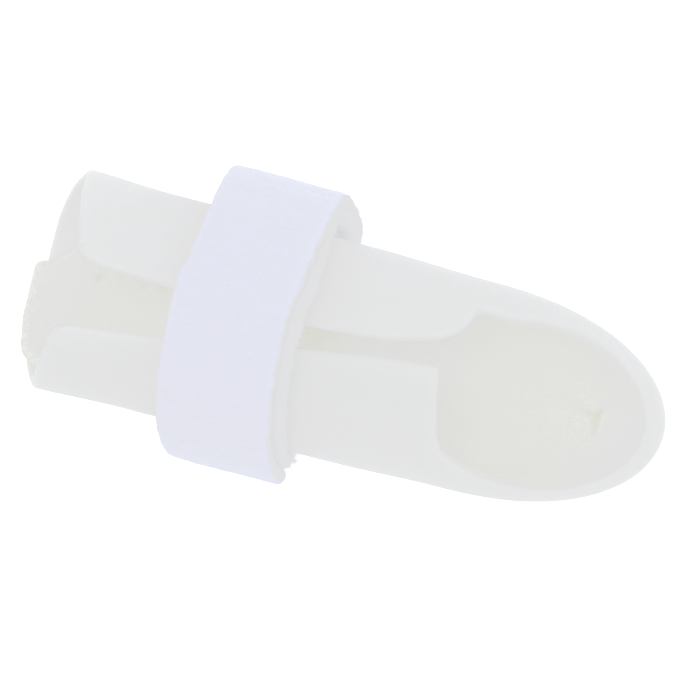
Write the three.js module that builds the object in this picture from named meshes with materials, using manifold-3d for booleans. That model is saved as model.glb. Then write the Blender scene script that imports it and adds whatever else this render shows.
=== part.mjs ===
// A mallet-type finger splint, in millimetres: a moulded plastic shell closed by a rounded tip, the foam that lines it
// and a strap wound loosely round it. +X points to the fingertip, +Y to one side and +Z away from the table.
// The splint rests on its palmar side: on the flat underside of the strap and on the belly of the tip.

import * as THREE from "three";
import { mergeVertices } from "three/addons/utils/BufferGeometryUtils.js";
import Module from "manifold-3d";

const wasm = await Module();
wasm.setup();

// The shell, measured along and across its own axis
const SHELL_LENGTH = 61.8;
const SHELL_HALF_WIDTH = 11.2;
const SHELL_DORSAL_HEIGHT = 9.6;
const SHELL_PALMAR_DEPTH = 9.7;
const SHELL_WALL = 1.0;
const TIP_LENGTH = 20;
const TIP_ROUNDNESS = 2.2;
const TIP_DROP = 0.8;

// The slit between the two flanges, from the open end to the window
const SLIT_OPEN_WIDTH = 6.6;
const SLIT_NARROW_WIDTH = 2.2;
const SLIT_OPEN_OFFSET = -1.1;
const SLIT_NARROW_OFFSET = 1.9;
const SLIT_CORNER = 1.1;

// The window over the nail. One flange ends squarely at its start, the other at a slant.
const WINDOW_START = 41;
const WINDOW_SLANT_START = 39.2;
const WINDOW_SLANT = 0.24;
const WINDOW_START_HEIGHT = 3.6;
const WINDOW_END_HEIGHT = 2.7;
const WINDOW_CORNER = 2.4;
const WINDOW_ROLL_DEG = 4.5;

// How far the open end reaches past the side walls at the palm, and how far it stays short of them on the back
const PALMAR_REACH = 2.2;
const DORSAL_SETBACK = 2.0;

// The foam
const FOAM_THICKNESS = 1.5;
const FOAM_GAP = 0.3;
const FOAM_BELOW_RIM = 0.6;
const FOAM_PROTRUSION = 0.9;
const FOAM_RECESS = 1.2;
const FOAM_STEP_AT = 0.6;
const FOAM_BACK_EDGE_NEAR_SLIT = -1.2;
const FOAM_BACK_EDGE_FAR = 7.2;

// The strap: a tape wound in two turns
const STRAP_WIDTH = 12;
const STRAP_THICKNESS = 1.3;
const STRAP_TURN_GAP = 0.3;
const STRAP_CENTRE = 20.5;
const STRAP_CLEARANCE = 0.35;
const STRAP_SLACK = 1.35;
const STRAP_FLATTENING = 0.5;
const STRAP_SKEW = 0.35;
const STRAP_START_DEG = -108;
const STRAP_STEP_START_DEG = 202;
const STRAP_STEP_END_DEG = 248;
const STRAP_END_DEG = 548;

// How finely round shapes are cut into flat faces
const BODY_SIDES = 40;
const BODY_STATIONS = 13;
const TIP_STATIONS = 9;
const STRAP_STEP_DEG = 7;
const CUT_REACH = 30;

const PLASTIC = { name: "milky_plastic", color: 0xe3e6e6, roughness: 0.35, metalness: 0 };
const FOAM = { name: "cream_foam", color: 0xe3e4da, roughness: 0.95, metalness: 0 };
const TAPE = { name: "white_tape", color: 0xe4e6f2, roughness: 0.9, metalness: 0 };

// A solid of the boolean library from a closed three.js geometry
function solidOf(geometry) {
  const bare = geometry.index ? geometry.toNonIndexed() : geometry.clone();
  bare.deleteAttribute("normal");
  bare.deleteAttribute("uv");
  const merged = mergeVertices(bare, 1e-4);
  const vertProperties = new Float32Array(merged.getAttribute("position").array);
  const triVerts = new Uint32Array(merged.index.array);
  return new wasm.Manifold(new wasm.Mesh({ numProp: 3, vertProperties, triVerts }));
}

function geometryOf(solid) {
  const mesh = solid.getMesh();
  const geometry = new THREE.BufferGeometry();
  geometry.setAttribute("position", new THREE.BufferAttribute(mesh.vertProperties, mesh.numProp));
  geometry.setIndex(new THREE.BufferAttribute(mesh.triVerts, 1));
  const faceted = geometry.toNonIndexed();
  faceted.computeVertexNormals();
  return faceted;
}

function meshOf(name, geometry, finish) {
  const mesh = new THREE.Mesh(geometry, new THREE.MeshStandardMaterial(finish));
  mesh.name = name;
  return mesh;
}

// A prism whose outline is drawn as (x, z) seen from the side, between two values of y
function sidePrism(outline, fromY, toY) {
  const shape = new THREE.Shape(outline);
  const geometry = new THREE.ExtrudeGeometry(shape, { depth: toY - fromY, bevelEnabled: false, curveSegments: 6 });
  geometry.rotateX(Math.PI / 2);
  geometry.translate(0, toY, 0);
  return geometry;
}

// A prism whose outline is drawn as (x, y) seen from above, between two heights
function planPrism(shape, fromZ, toZ) {
  const geometry = new THREE.ExtrudeGeometry(shape, { depth: toZ - fromZ, bevelEnabled: false, curveSegments: 6 });
  geometry.translate(0, 0, fromZ);
  return geometry;
}

// The closed outer form: the share of the full section that is left at a station, 1 along the tube and 0 at the tip
const tubeLength = SHELL_LENGTH - TIP_LENGTH;

function tipShare(along, inset) {
  const reach = TIP_LENGTH - inset;
  const share = Math.min(Math.max((along - tubeLength) / reach, 0), 1);
  return Math.sqrt(1 - share ** TIP_ROUNDNESS);
}

// Sections of the tube, as shares of its length and of its half width, back and palm
const SECTIONS = [
  { at: 0.0, width: 1.0, back: 1.0, palm: 1.0 },
  { at: 0.21, width: 0.973, back: 0.985, palm: 1.0 },
  { at: 0.72, width: 0.968, back: 0.965, palm: 0.995 },
  { at: 1.0, width: 0.94, back: 0.95, palm: 0.985 },
];

function sectionShare(along, column) {
  const at = Math.min(Math.max(along / tubeLength, 0), 1);
  const next = Math.max(1, SECTIONS.findIndex((row) => row.at >= at));
  const [low, high] = [SECTIONS[next - 1], SECTIONS[next]];
  const part = THREE.MathUtils.smoothstep(at, low.at, high.at);
  return THREE.MathUtils.lerp(low[column], high[column], part);
}

// The tip droops towards the palm as it closes
function centreHeight(along) {
  const share = Math.max((along - tubeLength) / TIP_LENGTH, 0);
  return -TIP_DROP * share * share;
}

function stationsOf(start, inset) {
  const straight = Array.from(
    { length: BODY_STATIONS },
    (_, i) => start + ((tubeLength - start) * i) / BODY_STATIONS,
  );
  const reach = TIP_LENGTH - inset;
  const round = Array.from(
    { length: TIP_STATIONS },
    (_, i) => tubeLength + reach * Math.sin((Math.PI / 2) * (i / TIP_STATIONS)),
  );
  return [...straight, ...round];
}

// The outer form drawn in by an inset, from a start behind the open end to the tip
function bodyGeometry(start, inset) {
  const stations = stationsOf(start, inset);
  const profile = stations.map((along) => new THREE.Vector2(tipShare(along, inset), along));
  const end = new THREE.Vector2(0, SHELL_LENGTH - inset);
  const lathe = new THREE.LatheGeometry([new THREE.Vector2(0, start), ...profile, end], BODY_SIDES);
  const place = lathe.getAttribute("position");
  for (let i = 0; i < place.count; i += 1) {
    const [acrossUnit, along, upUnit] = [place.getX(i), place.getY(i), place.getZ(i)];
    const halfWidth = SHELL_HALF_WIDTH * sectionShare(along, "width") - inset;
    const back = SHELL_DORSAL_HEIGHT * sectionShare(along, "back") - inset;
    const palm = SHELL_PALMAR_DEPTH * sectionShare(along, "palm") - inset;
    const height = centreHeight(along) + upUnit * (upUnit > 0 ? back : palm);
    place.setXYZ(i, along, -acrossUnit * halfWidth, height);
  }
  return lathe;
}

// The side view of the open end, from the palm up to the back, moved along by a shift
const END_ROWS = [
  { height: -2.0, reach: -1.0 },
  { height: -0.8, reach: -1.0 },
  { height: -0.5, reach: -0.62 },
  { height: -0.25, reach: -0.25 },
  { height: 0.0, reach: 0.0 },
  { height: 0.55, reach: 0.1 },
  { height: 0.8, reach: 0.45 },
  { height: 1.0, reach: 1.1 },
  { height: 2.0, reach: 1.1 },
];

function endCutter(shift, fromY, toY) {
  const edge = END_ROWS.map(({ height, reach }) => {
    const along = reach * (reach < 0 ? PALMAR_REACH : DORSAL_SETBACK) + shift;
    const up = height * (height < 0 ? SHELL_PALMAR_DEPTH : SHELL_DORSAL_HEIGHT);
    return new THREE.Vector2(along, up);
  });
  const lowest = edge[0].y;
  const highest = edge[edge.length - 1].y;
  const behind = [new THREE.Vector2(-CUT_REACH, highest), new THREE.Vector2(-CUT_REACH, lowest)];
  return solidOf(sidePrism([...edge, ...behind], fromY, toY));
}

// The slit: it narrows and drifts to one side on its way from the open end to the window
function slitCutter() {
  const start = DORSAL_SETBACK;
  const finish = WINDOW_START + WINDOW_CORNER;
  const upperStart = SLIT_OPEN_OFFSET + SLIT_OPEN_WIDTH / 2;
  const lowerStart = SLIT_OPEN_OFFSET - SLIT_OPEN_WIDTH / 2;
  const upperEnd = SLIT_NARROW_OFFSET + SLIT_NARROW_WIDTH / 2;
  const lowerEnd = SLIT_NARROW_OFFSET - SLIT_NARROW_WIDTH / 2;
  const straightEnd = WINDOW_START - 2 * WINDOW_CORNER;
  const shape = new THREE.Shape();
  shape.moveTo(-CUT_REACH, lowerStart - SLIT_CORNER);
  shape.lineTo(start, lowerStart - SLIT_CORNER);
  shape.quadraticCurveTo(start, lowerStart, start + SLIT_CORNER, lowerStart + SLIT_CORNER / 4);
  shape.quadraticCurveTo(tubeLength / 2, lowerEnd - SLIT_NARROW_WIDTH / 2, finish, lowerEnd);
  shape.lineTo(finish, upperEnd + WINDOW_CORNER);
  shape.lineTo(WINDOW_START, upperEnd + WINDOW_CORNER);
  shape.quadraticCurveTo(WINDOW_START, upperEnd, straightEnd, upperEnd);
  shape.quadraticCurveTo(tubeLength / 2, upperStart - SLIT_NARROW_WIDTH / 2, start + 2 * SLIT_CORNER, upperStart);
  shape.quadraticCurveTo(start, upperStart, start, upperStart + SLIT_CORNER);
  shape.lineTo(-CUT_REACH, upperStart + SLIT_CORNER);
  shape.closePath();
  return solidOf(planPrism(shape, 0, CUT_REACH));
}

// Everything above the window's sloping edge, lowered by a depth and ahead of a start, between two values of y
function windowSide(start, depth, slant, fromY, toY) {
  const shape = new THREE.Shape();
  const slope = (WINDOW_END_HEIGHT - WINDOW_START_HEIGHT) / (SHELL_LENGTH - WINDOW_START);
  const heightAt = (along) => WINDOW_START_HEIGHT - depth + slope * (along - WINDOW_START);
  shape.moveTo(start, CUT_REACH);
  shape.lineTo(start, heightAt(start) + WINDOW_CORNER);
  shape.quadraticCurveTo(start, heightAt(start), start + WINDOW_CORNER, heightAt(start + WINDOW_CORNER));
  shape.lineTo(SHELL_LENGTH + CUT_REACH, heightAt(SHELL_LENGTH + CUT_REACH));
  shape.lineTo(SHELL_LENGTH + CUT_REACH, CUT_REACH);
  shape.closePath();
  const geometry = sidePrism(shape.getPoints(6), fromY, toY);
  const place = geometry.getAttribute("position");
  for (let i = 0; i < place.count; i += 1) {
    place.setX(i, place.getX(i) + slant * (SLIT_NARROW_OFFSET - place.getY(i)));
  }
  geometry.rotateX(THREE.MathUtils.degToRad(WINDOW_ROLL_DEG));
  return solidOf(geometry);
}

function windowCutter(advance, depth) {
  const square = windowSide(WINDOW_START + advance, depth, 0, SLIT_NARROW_OFFSET, CUT_REACH);
  const slanted = windowSide(WINDOW_SLANT_START + advance, depth, WINDOW_SLANT, -CUT_REACH, SLIT_NARROW_OFFSET + 0.1);
  return square.add(slanted);
}

const behindOpenEnd = -PALMAR_REACH - 3 * FOAM_PROTRUSION;

function splintShell() {
  const outer = solidOf(bodyGeometry(behindOpenEnd, 0));
  const inner = solidOf(bodyGeometry(behindOpenEnd - SHELL_WALL, SHELL_WALL));
  const cut = outer
    .subtract(inner)
    .subtract(endCutter(0, -CUT_REACH, CUT_REACH))
    .subtract(slitCutter())
    .subtract(windowCutter(0, 0));
  return meshOf("splint_shell", geometryOf(cut), PLASTIC);
}

// The back is left bare between the two long edges of the foam
function foamBackCutter() {
  const shape = new THREE.Shape();
  const nearStart = SLIT_OPEN_OFFSET - SLIT_OPEN_WIDTH / 2 + FOAM_BACK_EDGE_NEAR_SLIT;
  const nearEnd = SLIT_NARROW_OFFSET - SLIT_NARROW_WIDTH / 2 + FOAM_BACK_EDGE_NEAR_SLIT;
  shape.moveTo(-CUT_REACH, nearStart);
  shape.lineTo(0, nearStart);
  shape.lineTo(WINDOW_START + WINDOW_CORNER, nearEnd);
  shape.lineTo(WINDOW_START + WINDOW_CORNER, FOAM_BACK_EDGE_FAR);
  shape.lineTo(-CUT_REACH, FOAM_BACK_EDGE_FAR);
  shape.closePath();
  return solidOf(planPrism(shape, 0, CUT_REACH));
}

function foamLining() {
  const seat = SHELL_WALL + FOAM_GAP;
  const outer = solidOf(bodyGeometry(behindOpenEnd, seat));
  const inner = solidOf(bodyGeometry(behindOpenEnd - FOAM_THICKNESS, seat + FOAM_THICKNESS));
  const cut = outer
    .subtract(inner)
    .subtract(endCutter(-FOAM_PROTRUSION, -CUT_REACH, CUT_REACH))
    .subtract(endCutter(FOAM_RECESS, FOAM_STEP_AT, CUT_REACH))
    .subtract(foamBackCutter())
    .subtract(windowCutter(-WINDOW_CORNER / 2, FOAM_BELOW_RIM));
  return meshOf("foam_lining", geometryOf(cut), FOAM);
}

const strapLayers = 2 * STRAP_THICKNESS + STRAP_TURN_GAP;

// The shell's axis above the table where the strap crosses it: the palm of the shell there just clears the tape
function axisHeightAtStrap(angle) {
  const halfTapeRise = (STRAP_WIDTH / 2) * Math.tan(angle);
  return strapLayers + STRAP_CLEARANCE + halfTapeRise + SHELL_PALMAR_DEPTH / Math.cos(angle);
}

// The lowest point of the tip above the table when the shell is pitched by an angle
function tipHeight(angle) {
  const heights = stationsOf(0, 0).map((along) => {
    const palm = SHELL_PALMAR_DEPTH * sectionShare(along, "palm") * tipShare(along, 0) - centreHeight(along);
    return axisHeightAtStrap(angle) + (STRAP_CENTRE - along) * Math.sin(angle) - palm * Math.cos(angle);
  });
  return Math.min(...heights);
}

// The splint tips forward over its strap until the belly of the tip meets the table
function restingPitch() {
  let [level, steep] = [0, Math.PI / 4];
  for (let i = 0; i < 30; i += 1) {
    const half = (level + steep) / 2;
    if (tipHeight(half) > 0) level = half;
    else steep = half;
  }
  return level;
}

const pitch = restingPitch();
const strapTop =
  axisHeightAtStrap(pitch) +
  (STRAP_WIDTH / 2) * Math.tan(pitch) +
  SHELL_DORSAL_HEIGHT / Math.cos(pitch) +
  STRAP_CLEARANCE +
  strapLayers;
const strapHalfHeight = (strapTop + STRAP_FLATTENING) / 2;
const shellAtStrap = SHELL_HALF_WIDTH * sectionShare(STRAP_CENTRE - STRAP_WIDTH / 2, "width");
const strapHalfWidth = shellAtStrap + (STRAP_SLACK + STRAP_CLEARANCE) / 2 + strapLayers;
const strapCentreY = (STRAP_SLACK - STRAP_CLEARANCE) / 2;
const strapCentreZ = strapTop - strapHalfHeight;

// How deep a face of the tape lies inside the strap's outer form: the inner turn steps outwards to become the outer one
function tapeDepth(degrees) {
  const stepped = THREE.MathUtils.smoothstep(degrees, STRAP_STEP_START_DEG, STRAP_STEP_END_DEG);
  return (STRAP_THICKNESS + STRAP_TURN_GAP) * (1 - stepped);
}

function strapPoint(degrees, depth) {
  const angle = THREE.MathUtils.degToRad(degrees);
  const across = strapCentreY + (strapHalfWidth - depth) * Math.cos(angle);
  const up = strapCentreZ + (strapHalfHeight - depth) * Math.sin(angle);
  return new THREE.Vector2(across, Math.max(up, depth));
}

// The tape's edges are pulled towards the fingertip where it turns over the side that its free end lies on
function strapSkew(across) {
  const share = Math.max((strapCentreY - across) / strapHalfWidth, 0);
  return STRAP_SKEW * share ** 4;
}

function strap() {
  const steps = Math.round((STRAP_END_DEG - STRAP_START_DEG) / STRAP_STEP_DEG);
  const angles = Array.from(
    { length: steps + 1 },
    (_, i) => STRAP_START_DEG + ((STRAP_END_DEG - STRAP_START_DEG) * i) / steps,
  );
  const outside = angles.map((degrees) => strapPoint(degrees, tapeDepth(degrees)));
  const inside = angles.map((degrees) => strapPoint(degrees, tapeDepth(degrees) + STRAP_THICKNESS));
  const outline = new THREE.Shape([...outside, ...inside.reverse()]);
  const geometry = new THREE.ExtrudeGeometry(outline, { depth: STRAP_WIDTH, bevelEnabled: false, steps: 1 });
  const place = geometry.getAttribute("position");
  for (let i = 0; i < place.count; i += 1) {
    const [across, up, along] = [place.getX(i), place.getY(i), place.getZ(i)];
    place.setXYZ(i, along - STRAP_WIDTH / 2 + strapSkew(across), across, up);
  }
  return meshOf("strap", geometry, TAPE);
}

// The shell and its foam lie pitched, tip down, through the strap, which stands upright on the table
const pitched = new THREE.Group();
pitched.rotation.y = pitch;
pitched.position.z = axisHeightAtStrap(pitch) + STRAP_CENTRE * Math.sin(pitch);
pitched.add(splintShell(), foamLining());

const strapMesh = strap();
strapMesh.position.x = STRAP_CENTRE * Math.cos(pitch);

const splint = new THREE.Group();
splint.add(pitched, strapMesh);

// The whole is moved so that the middle of its footprint lies at the origin
splint.updateMatrixWorld(true);
const box = new THREE.Box3().setFromObject(splint, true);
const middle = box.getCenter(new THREE.Vector3());
splint.position.set(-middle.x, -middle.y, -box.min.z);

const part = new THREE.Group();
part.add(splint);

export default part;
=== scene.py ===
"""A mallet-type finger splint on a pale floor: a milky plastic shell, its foam lining and a loose strap.

Shapes are worked out in millimetres. The shell and its foam are drawn along the shell's own axis, x towards
the fingertip, y to one side and z away from the palm, and are then laid down with the pitch at which the
splint rests. The strap is drawn upright, as it stands on the floor.
"""

from __future__ import annotations

import logging
import math
from collections.abc import Callable
from dataclasses import dataclass, field
from enum import Enum

import bmesh
import bpy
import numpy as np
from mathutils import Matrix, Vector

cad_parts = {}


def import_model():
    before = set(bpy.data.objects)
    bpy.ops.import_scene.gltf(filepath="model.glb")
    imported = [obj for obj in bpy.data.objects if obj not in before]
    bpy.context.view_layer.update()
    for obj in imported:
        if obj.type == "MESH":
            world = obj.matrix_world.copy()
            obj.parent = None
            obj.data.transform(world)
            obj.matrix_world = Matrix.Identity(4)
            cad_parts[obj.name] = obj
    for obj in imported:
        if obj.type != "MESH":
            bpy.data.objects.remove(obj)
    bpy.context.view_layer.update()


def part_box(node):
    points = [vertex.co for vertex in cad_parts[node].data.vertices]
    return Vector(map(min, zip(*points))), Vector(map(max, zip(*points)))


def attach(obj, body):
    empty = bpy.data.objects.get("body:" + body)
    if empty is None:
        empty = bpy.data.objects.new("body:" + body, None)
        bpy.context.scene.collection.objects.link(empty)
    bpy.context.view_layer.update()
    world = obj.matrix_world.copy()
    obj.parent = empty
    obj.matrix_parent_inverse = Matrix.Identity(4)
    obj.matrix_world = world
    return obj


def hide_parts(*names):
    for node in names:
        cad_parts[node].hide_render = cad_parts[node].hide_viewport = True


MM = 0.001
LOG = logging.getLogger("finger_splint")

Array = np.ndarray
Tree = bpy.types.NodeTree
Socket = bpy.types.NodeSocket


class Side(Enum):
    """The two halves of the splint, as the sign of y."""

    LEFT = 1
    RIGHT = -1


class BumpSpace(Enum):
    """The coordinates that a material's pattern follows."""

    OBJECT = "Object"
    UV = "UV"


class Mask(Enum):
    """The vertex attributes that say where a finish takes on another tint."""

    BACKING = "backing"
    PALENESS = "paleness"
    # painted shade in the foam's fold and pits
    FOLD = "fold"
    # painted light: the foam lightened where the strap and the flanges cover it
    CLEAN = "clean"
    # fraying and painted shade on the tape's edge and the inner turn's strip
    WORN = "worn"


Masks = dict[Mask, Array]


def unit(vectors: Array) -> Array:
    """Vectors scaled to length one.

    Args:
        vectors: An array whose last axis holds x, y and z.

    Returns:
        The array with each vector divided by its length.
    """
    return vectors / np.maximum(np.linalg.norm(vectors, axis=-1, keepdims=True), 1e-12)


def smooth_step(low: float, high: float, values: Array) -> Array:
    """A ramp from 0 at low to 1 at high with flat ends: 3 t squared less 2 t cubed."""
    t = np.clip((values - low) / (high - low), 0.0, 1.0)
    return t * t * (3.0 - 2.0 * t)


@dataclass(frozen=True)
class Stretch:
    """A share that rises from nothing to one over some places and falls again over later ones.

    Attributes:
        rise: Where it begins to rise and where it has risen.
        fall: Where it begins to fall and where it has fallen.
        left: The share that is left after that.
    """

    rise: tuple[float, float]
    fall: tuple[float, float]
    left: float = 0.0

    def at(self, places: Array) -> Array:
        """The share at places: one eased ramp times what another leaves."""
        taken = (1.0 - self.left) * smooth_step(*self.fall, places)
        return smooth_step(*self.rise, places) * (1.0 - taken)


def run_lengths(curve: Array) -> Array:
    """The distance run along a curve up to each of its points."""
    steps = np.linalg.norm(np.diff(curve, axis=0), axis=1)
    return np.concatenate([[0.0], np.cumsum(steps)])


def points_at(curve: Array, distances: Array) -> Array:
    """The points of a curve at given distances along it.

    Args:
        curve: Points of the curve, one row each.
        distances: Distances from its start.

    Returns:
        One row for each distance, with straight lines between the curve's points.
    """
    run = run_lengths(curve)
    return np.stack([np.interp(distances, run, curve[:, k]) for k in range(curve.shape[1])], axis=1)


def rounded_run(curve: Array, step: float, reach: float) -> Array:
    """A curve with its corners rounded.

    The curve is sampled evenly and each sample becomes the mean of its neighbours, weighted by a bell
    curve. Both ends are kept by carrying the curve on past them as its own mirror image.

    Args:
        curve: Points of the curve, one row each.
        step: The distance between samples.
        reach: The bell curve's width, about half the radius that a corner gets.

    Returns:
        The even samples after the mean.
    """
    run = run_lengths(curve)
    count = max(int(round(run[-1] / step)), 8)
    even = points_at(curve, np.linspace(0.0, run[-1], count + 1))
    half = min(int(math.ceil(3 * reach / step)), count)
    offsets = np.arange(-half, half + 1)
    weights = np.exp(-0.5 * (offsets * step / reach) ** 2)
    weights /= weights.sum()
    before = 2 * even[0] - even[half:0:-1]
    after = 2 * even[-1] - even[-2 : -half - 2 : -1]
    longer = np.concatenate([before, even, after])
    return np.stack([np.convolve(longer[:, k], weights, mode="valid") for k in range(3)], axis=1)


class LatticeNoise:
    """Smooth noise from random numbers on a cubic lattice, blended between the corners of each cell."""

    SIZE = 32

    def __init__(self, seed: int) -> None:
        """Draws the lattice's numbers from a seed."""
        self.values = np.random.default_rng(seed).uniform(-1.0, 1.0, (self.SIZE,) * 3)

    def at(self, points: Array, cell: float | tuple[float, float, float]) -> Array:
        """The noise at points.

        Args:
            points: An array whose last axis holds three coordinates.
            cell: The lattice's spacing, one number or one for each coordinate.

        Returns:
            Values between -1 and 1, one for each point.
        """
        scaled = points / np.asarray(cell, dtype=float)
        base = np.floor(scaled).astype(int)
        part = scaled - base
        part = part * part * (3.0 - 2.0 * part)
        total = np.zeros(points.shape[:-1])
        for corner in np.ndindex(2, 2, 2):
            weight = np.prod(np.where(corner, part, 1.0 - part), axis=-1)
            index = tuple(np.moveaxis((base + corner) % self.SIZE, -1, 0))
            total += weight * self.values[index]
        return total


# The form that the shell is moulded on


@dataclass(frozen=True)
class SplintForm:
    """The closed outer form of the shell: a slightly tapering oval tube that ends in a rounded tip.

    Attributes:
        length: From the open end's side walls to the tip.
        half_width: Half the tube's width at the open end.
        back: The tube's height above its axis at the open end.
        palm: The tube's depth below its axis at the open end.
        tip_length: The length over which the tip rounds to nothing.
        tip_roundness: The power in the tip's outline, 2 for an ellipse.
        tip_drop: How far the tip droops towards the palm.
        stations: Places along the tube, as shares of its length, at which the section is given.
        width_shares: The section's half width there, as shares of the half width at the open end.
        back_shares: Its height above the axis, likewise.
        palm_shares: Its depth below the axis, likewise.
    """

    length: float = 61.8
    half_width: float = 11.2
    back: float = 9.6
    palm: float = 9.7
    tip_length: float = 20.0
    tip_roundness: float = 2.2
    tip_drop: float = 0.8
    stations: tuple[float, ...] = (0.0, 0.21, 0.72, 1.0)
    width_shares: tuple[float, ...] = (1.0, 0.973, 0.968, 0.94)
    back_shares: tuple[float, ...] = (1.0, 0.985, 0.965, 0.95)
    palm_shares: tuple[float, ...] = (1.0, 1.0, 0.995, 0.985)

    # The shares of a ray's length between which the surface is sought, and how often that is halved
    NEAREST = 0.02
    FARTHEST = 6.0
    HALVINGS = 34

    @property
    def tube_length(self) -> float:
        """The length of the tube before the tip begins."""
        return self.length - self.tip_length

    def share(self, along: Array, shares: tuple[float, ...]) -> Array:
        """A column of the section table at places along the tube, eased between its rows.

        Args:
            along: Places along the axis.
            shares: The column, one share for each station.

        Returns:
            One share for each place.
        """
        at = np.clip(along / self.tube_length, 0.0, 1.0)
        result = np.full_like(at, shares[0])
        for k in range(1, len(shares)):
            ramp = smooth_step(self.stations[k - 1], self.stations[k], at)
            result = result + ramp * (shares[k] - shares[k - 1])
        return result

    def centre_height(self, along: Array) -> Array:
        """The height of the section's middle: minus the drop times the squared share of the tip's run."""
        part = np.maximum((along - self.tube_length) / self.tip_length, 0.0)
        return -self.tip_drop * part * part

    def level(self, points: Array, inset: float) -> Array:
        """The form's level function, 1 on its surface and less inside.

        It is the share of the tip's reach to the tip's power, plus the squares of the shares of the half
        width and of the half height.

        Args:
            points: Points, x, y and z on the last axis.
            inset: How far the surface is drawn in.

        Returns:
            One level for each point.
        """
        x, y = points[..., 0], points[..., 1]
        z = points[..., 2] - self.centre_height(x)
        wide = self.half_width * self.share(x, self.width_shares) - inset
        back = self.back * self.share(x, self.back_shares) - inset
        palm = self.palm * self.share(x, self.palm_shares) - inset
        tall = np.where(z > 0, back, palm)
        run = np.maximum(x - self.tube_length, 0.0) / (self.tip_length - inset)
        return run**self.tip_roundness + (y / wide) ** 2 + (z / tall) ** 2

    def onto(self, points: Array, inset: float) -> Array:
        """Points moved onto the surface, away from the axis or, past the tube, from the tube's end.

        The length of each ray is found by halving an interval.

        Args:
            points: Points near the surface.
            inset: How far the surface is drawn in.

        Returns:
            The points on the surface.
        """
        root = np.zeros_like(points)
        root[..., 0] = np.minimum(points[..., 0], self.tube_length)
        ray = points - root
        low = np.full(points.shape[:-1], self.NEAREST)
        high = np.full(points.shape[:-1], self.FARTHEST)
        for _ in range(self.HALVINGS):
            middle = (low + high) / 2
            inside = self.level(root + ray * middle[..., None], inset) < 1.0
            low = np.where(inside, middle, low)
            high = np.where(inside, high, middle)
        return root + ray * ((low + high) / 2)[..., None]

    def normals(self, points: Array, inset: float) -> Array:
        """The surface's outward directions: the gradient of the level function by small differences.

        Args:
            points: Points on the surface.
            inset: How far the surface is drawn in.

        Returns:
            One direction of length one for each point.
        """
        step = 0.01
        parts = []
        for axis in range(3):
            shift = np.zeros(3)
            shift[axis] = step
            parts.append(self.level(points + shift, inset) - self.level(points - shift, inset))
        return unit(np.stack(parts, axis=-1))


@dataclass(frozen=True)
class Opening:
    """The shell's open end, slit and window, which the foam's edges follow too.

    Attributes:
        palm_reach: How far the palm wall reaches past the side walls at the open end.
        back_setback: How far the back stays short of the side walls there.
        end_heights: Heights in the open end's outline, as shares of the palm depth or the back height.
        end_reaches: What the outline reaches there, as shares of the palm reach or the back setback.
        rim_start: Where the window's rim begins to fall.
        rim_stop: Where it has fallen.
        rim_height: The rim's height above the axis where it begins.
        rim_end_height: Its height at the tip.
        rim_roll_deg: How far the rim is turned about the axis.
    """

    palm_reach: float = 2.35
    back_setback: float = 2.0
    rim_start: float = 40.0
    rim_stop: float = 56.0
    rim_height: float = 6.0
    rim_end_height: float = 2.6
    rim_roll_deg: float = 4.5
    end_heights: tuple[float, ...] = (-1.2, -0.95, -0.8, -0.5, -0.25, 0.0, 0.55, 0.8, 1.0)
    end_reaches: tuple[float, ...] = (-1.0, -1.02, -0.98, -0.64, -0.26, 0.0, 0.1, 0.45, 1.05)

    # The points of a rim, the oval that they start on and how often they are moved
    RIM_POINTS = 120
    RIM_OVAL = (12.0, 8.0)
    RIM_ROUNDS = 24

    def end_at(self, heights: Array, form: SplintForm) -> Array:
        """Where the open end lies along the axis, from the table of reaches against shares of height.

        Args:
            heights: Heights above the axis.
            form: The form that the end cuts.

        Returns:
            One place along the axis for each height.
        """
        shares = np.where(heights < 0, heights / form.palm, heights / form.back)
        reaches = np.interp(shares, self.end_heights, self.end_reaches)
        return np.where(reaches < 0, reaches * self.palm_reach, reaches * self.back_setback)

    def rim_at(self, points: Array) -> Array:
        """The rim's height over points: an eased fall along the axis plus the roll times y.

        Args:
            points: Points, x, y and z on the last axis.

        Returns:
            One height above the axis for each point.
        """
        fallen = smooth_step(self.rim_start, self.rim_stop, points[..., 0])
        roll = math.tan(math.radians(self.rim_roll_deg))
        return self.rim_height + fallen * (self.rim_end_height - self.rim_height) + roll * points[..., 1]

    def rim_run(self, form: SplintForm, inset: float, side: Side, start_deg: float, drop: float) -> Array:
        """The rim on one side, from a bearing round the tube's end to straight ahead at the tip.

        Points on an oval round the tube's end are moved by turns onto the surface and to the rim's height.

        Args:
            form: The form that the rim lies on.
            inset: How far that surface is drawn in.
            side: Which half.
            start_deg: The first bearing, from straight ahead.
            drop: How far below the rim plane the run lies.

        Returns:
            Points on the surface at the rim's height.
        """
        bearing = np.radians(np.linspace(start_deg, 0.0, self.RIM_POINTS)) * side.value
        ahead, across = self.RIM_OVAL
        guess = np.stack([np.cos(bearing) * ahead, np.sin(bearing) * across, 0 * bearing], axis=1)
        guess[:, 0] += form.tube_length
        for _ in range(self.RIM_ROUNDS):
            guess = form.onto(guess, inset)
            guess[:, 2] = self.rim_at(guess) - drop
        return form.onto(guess, inset)


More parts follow.
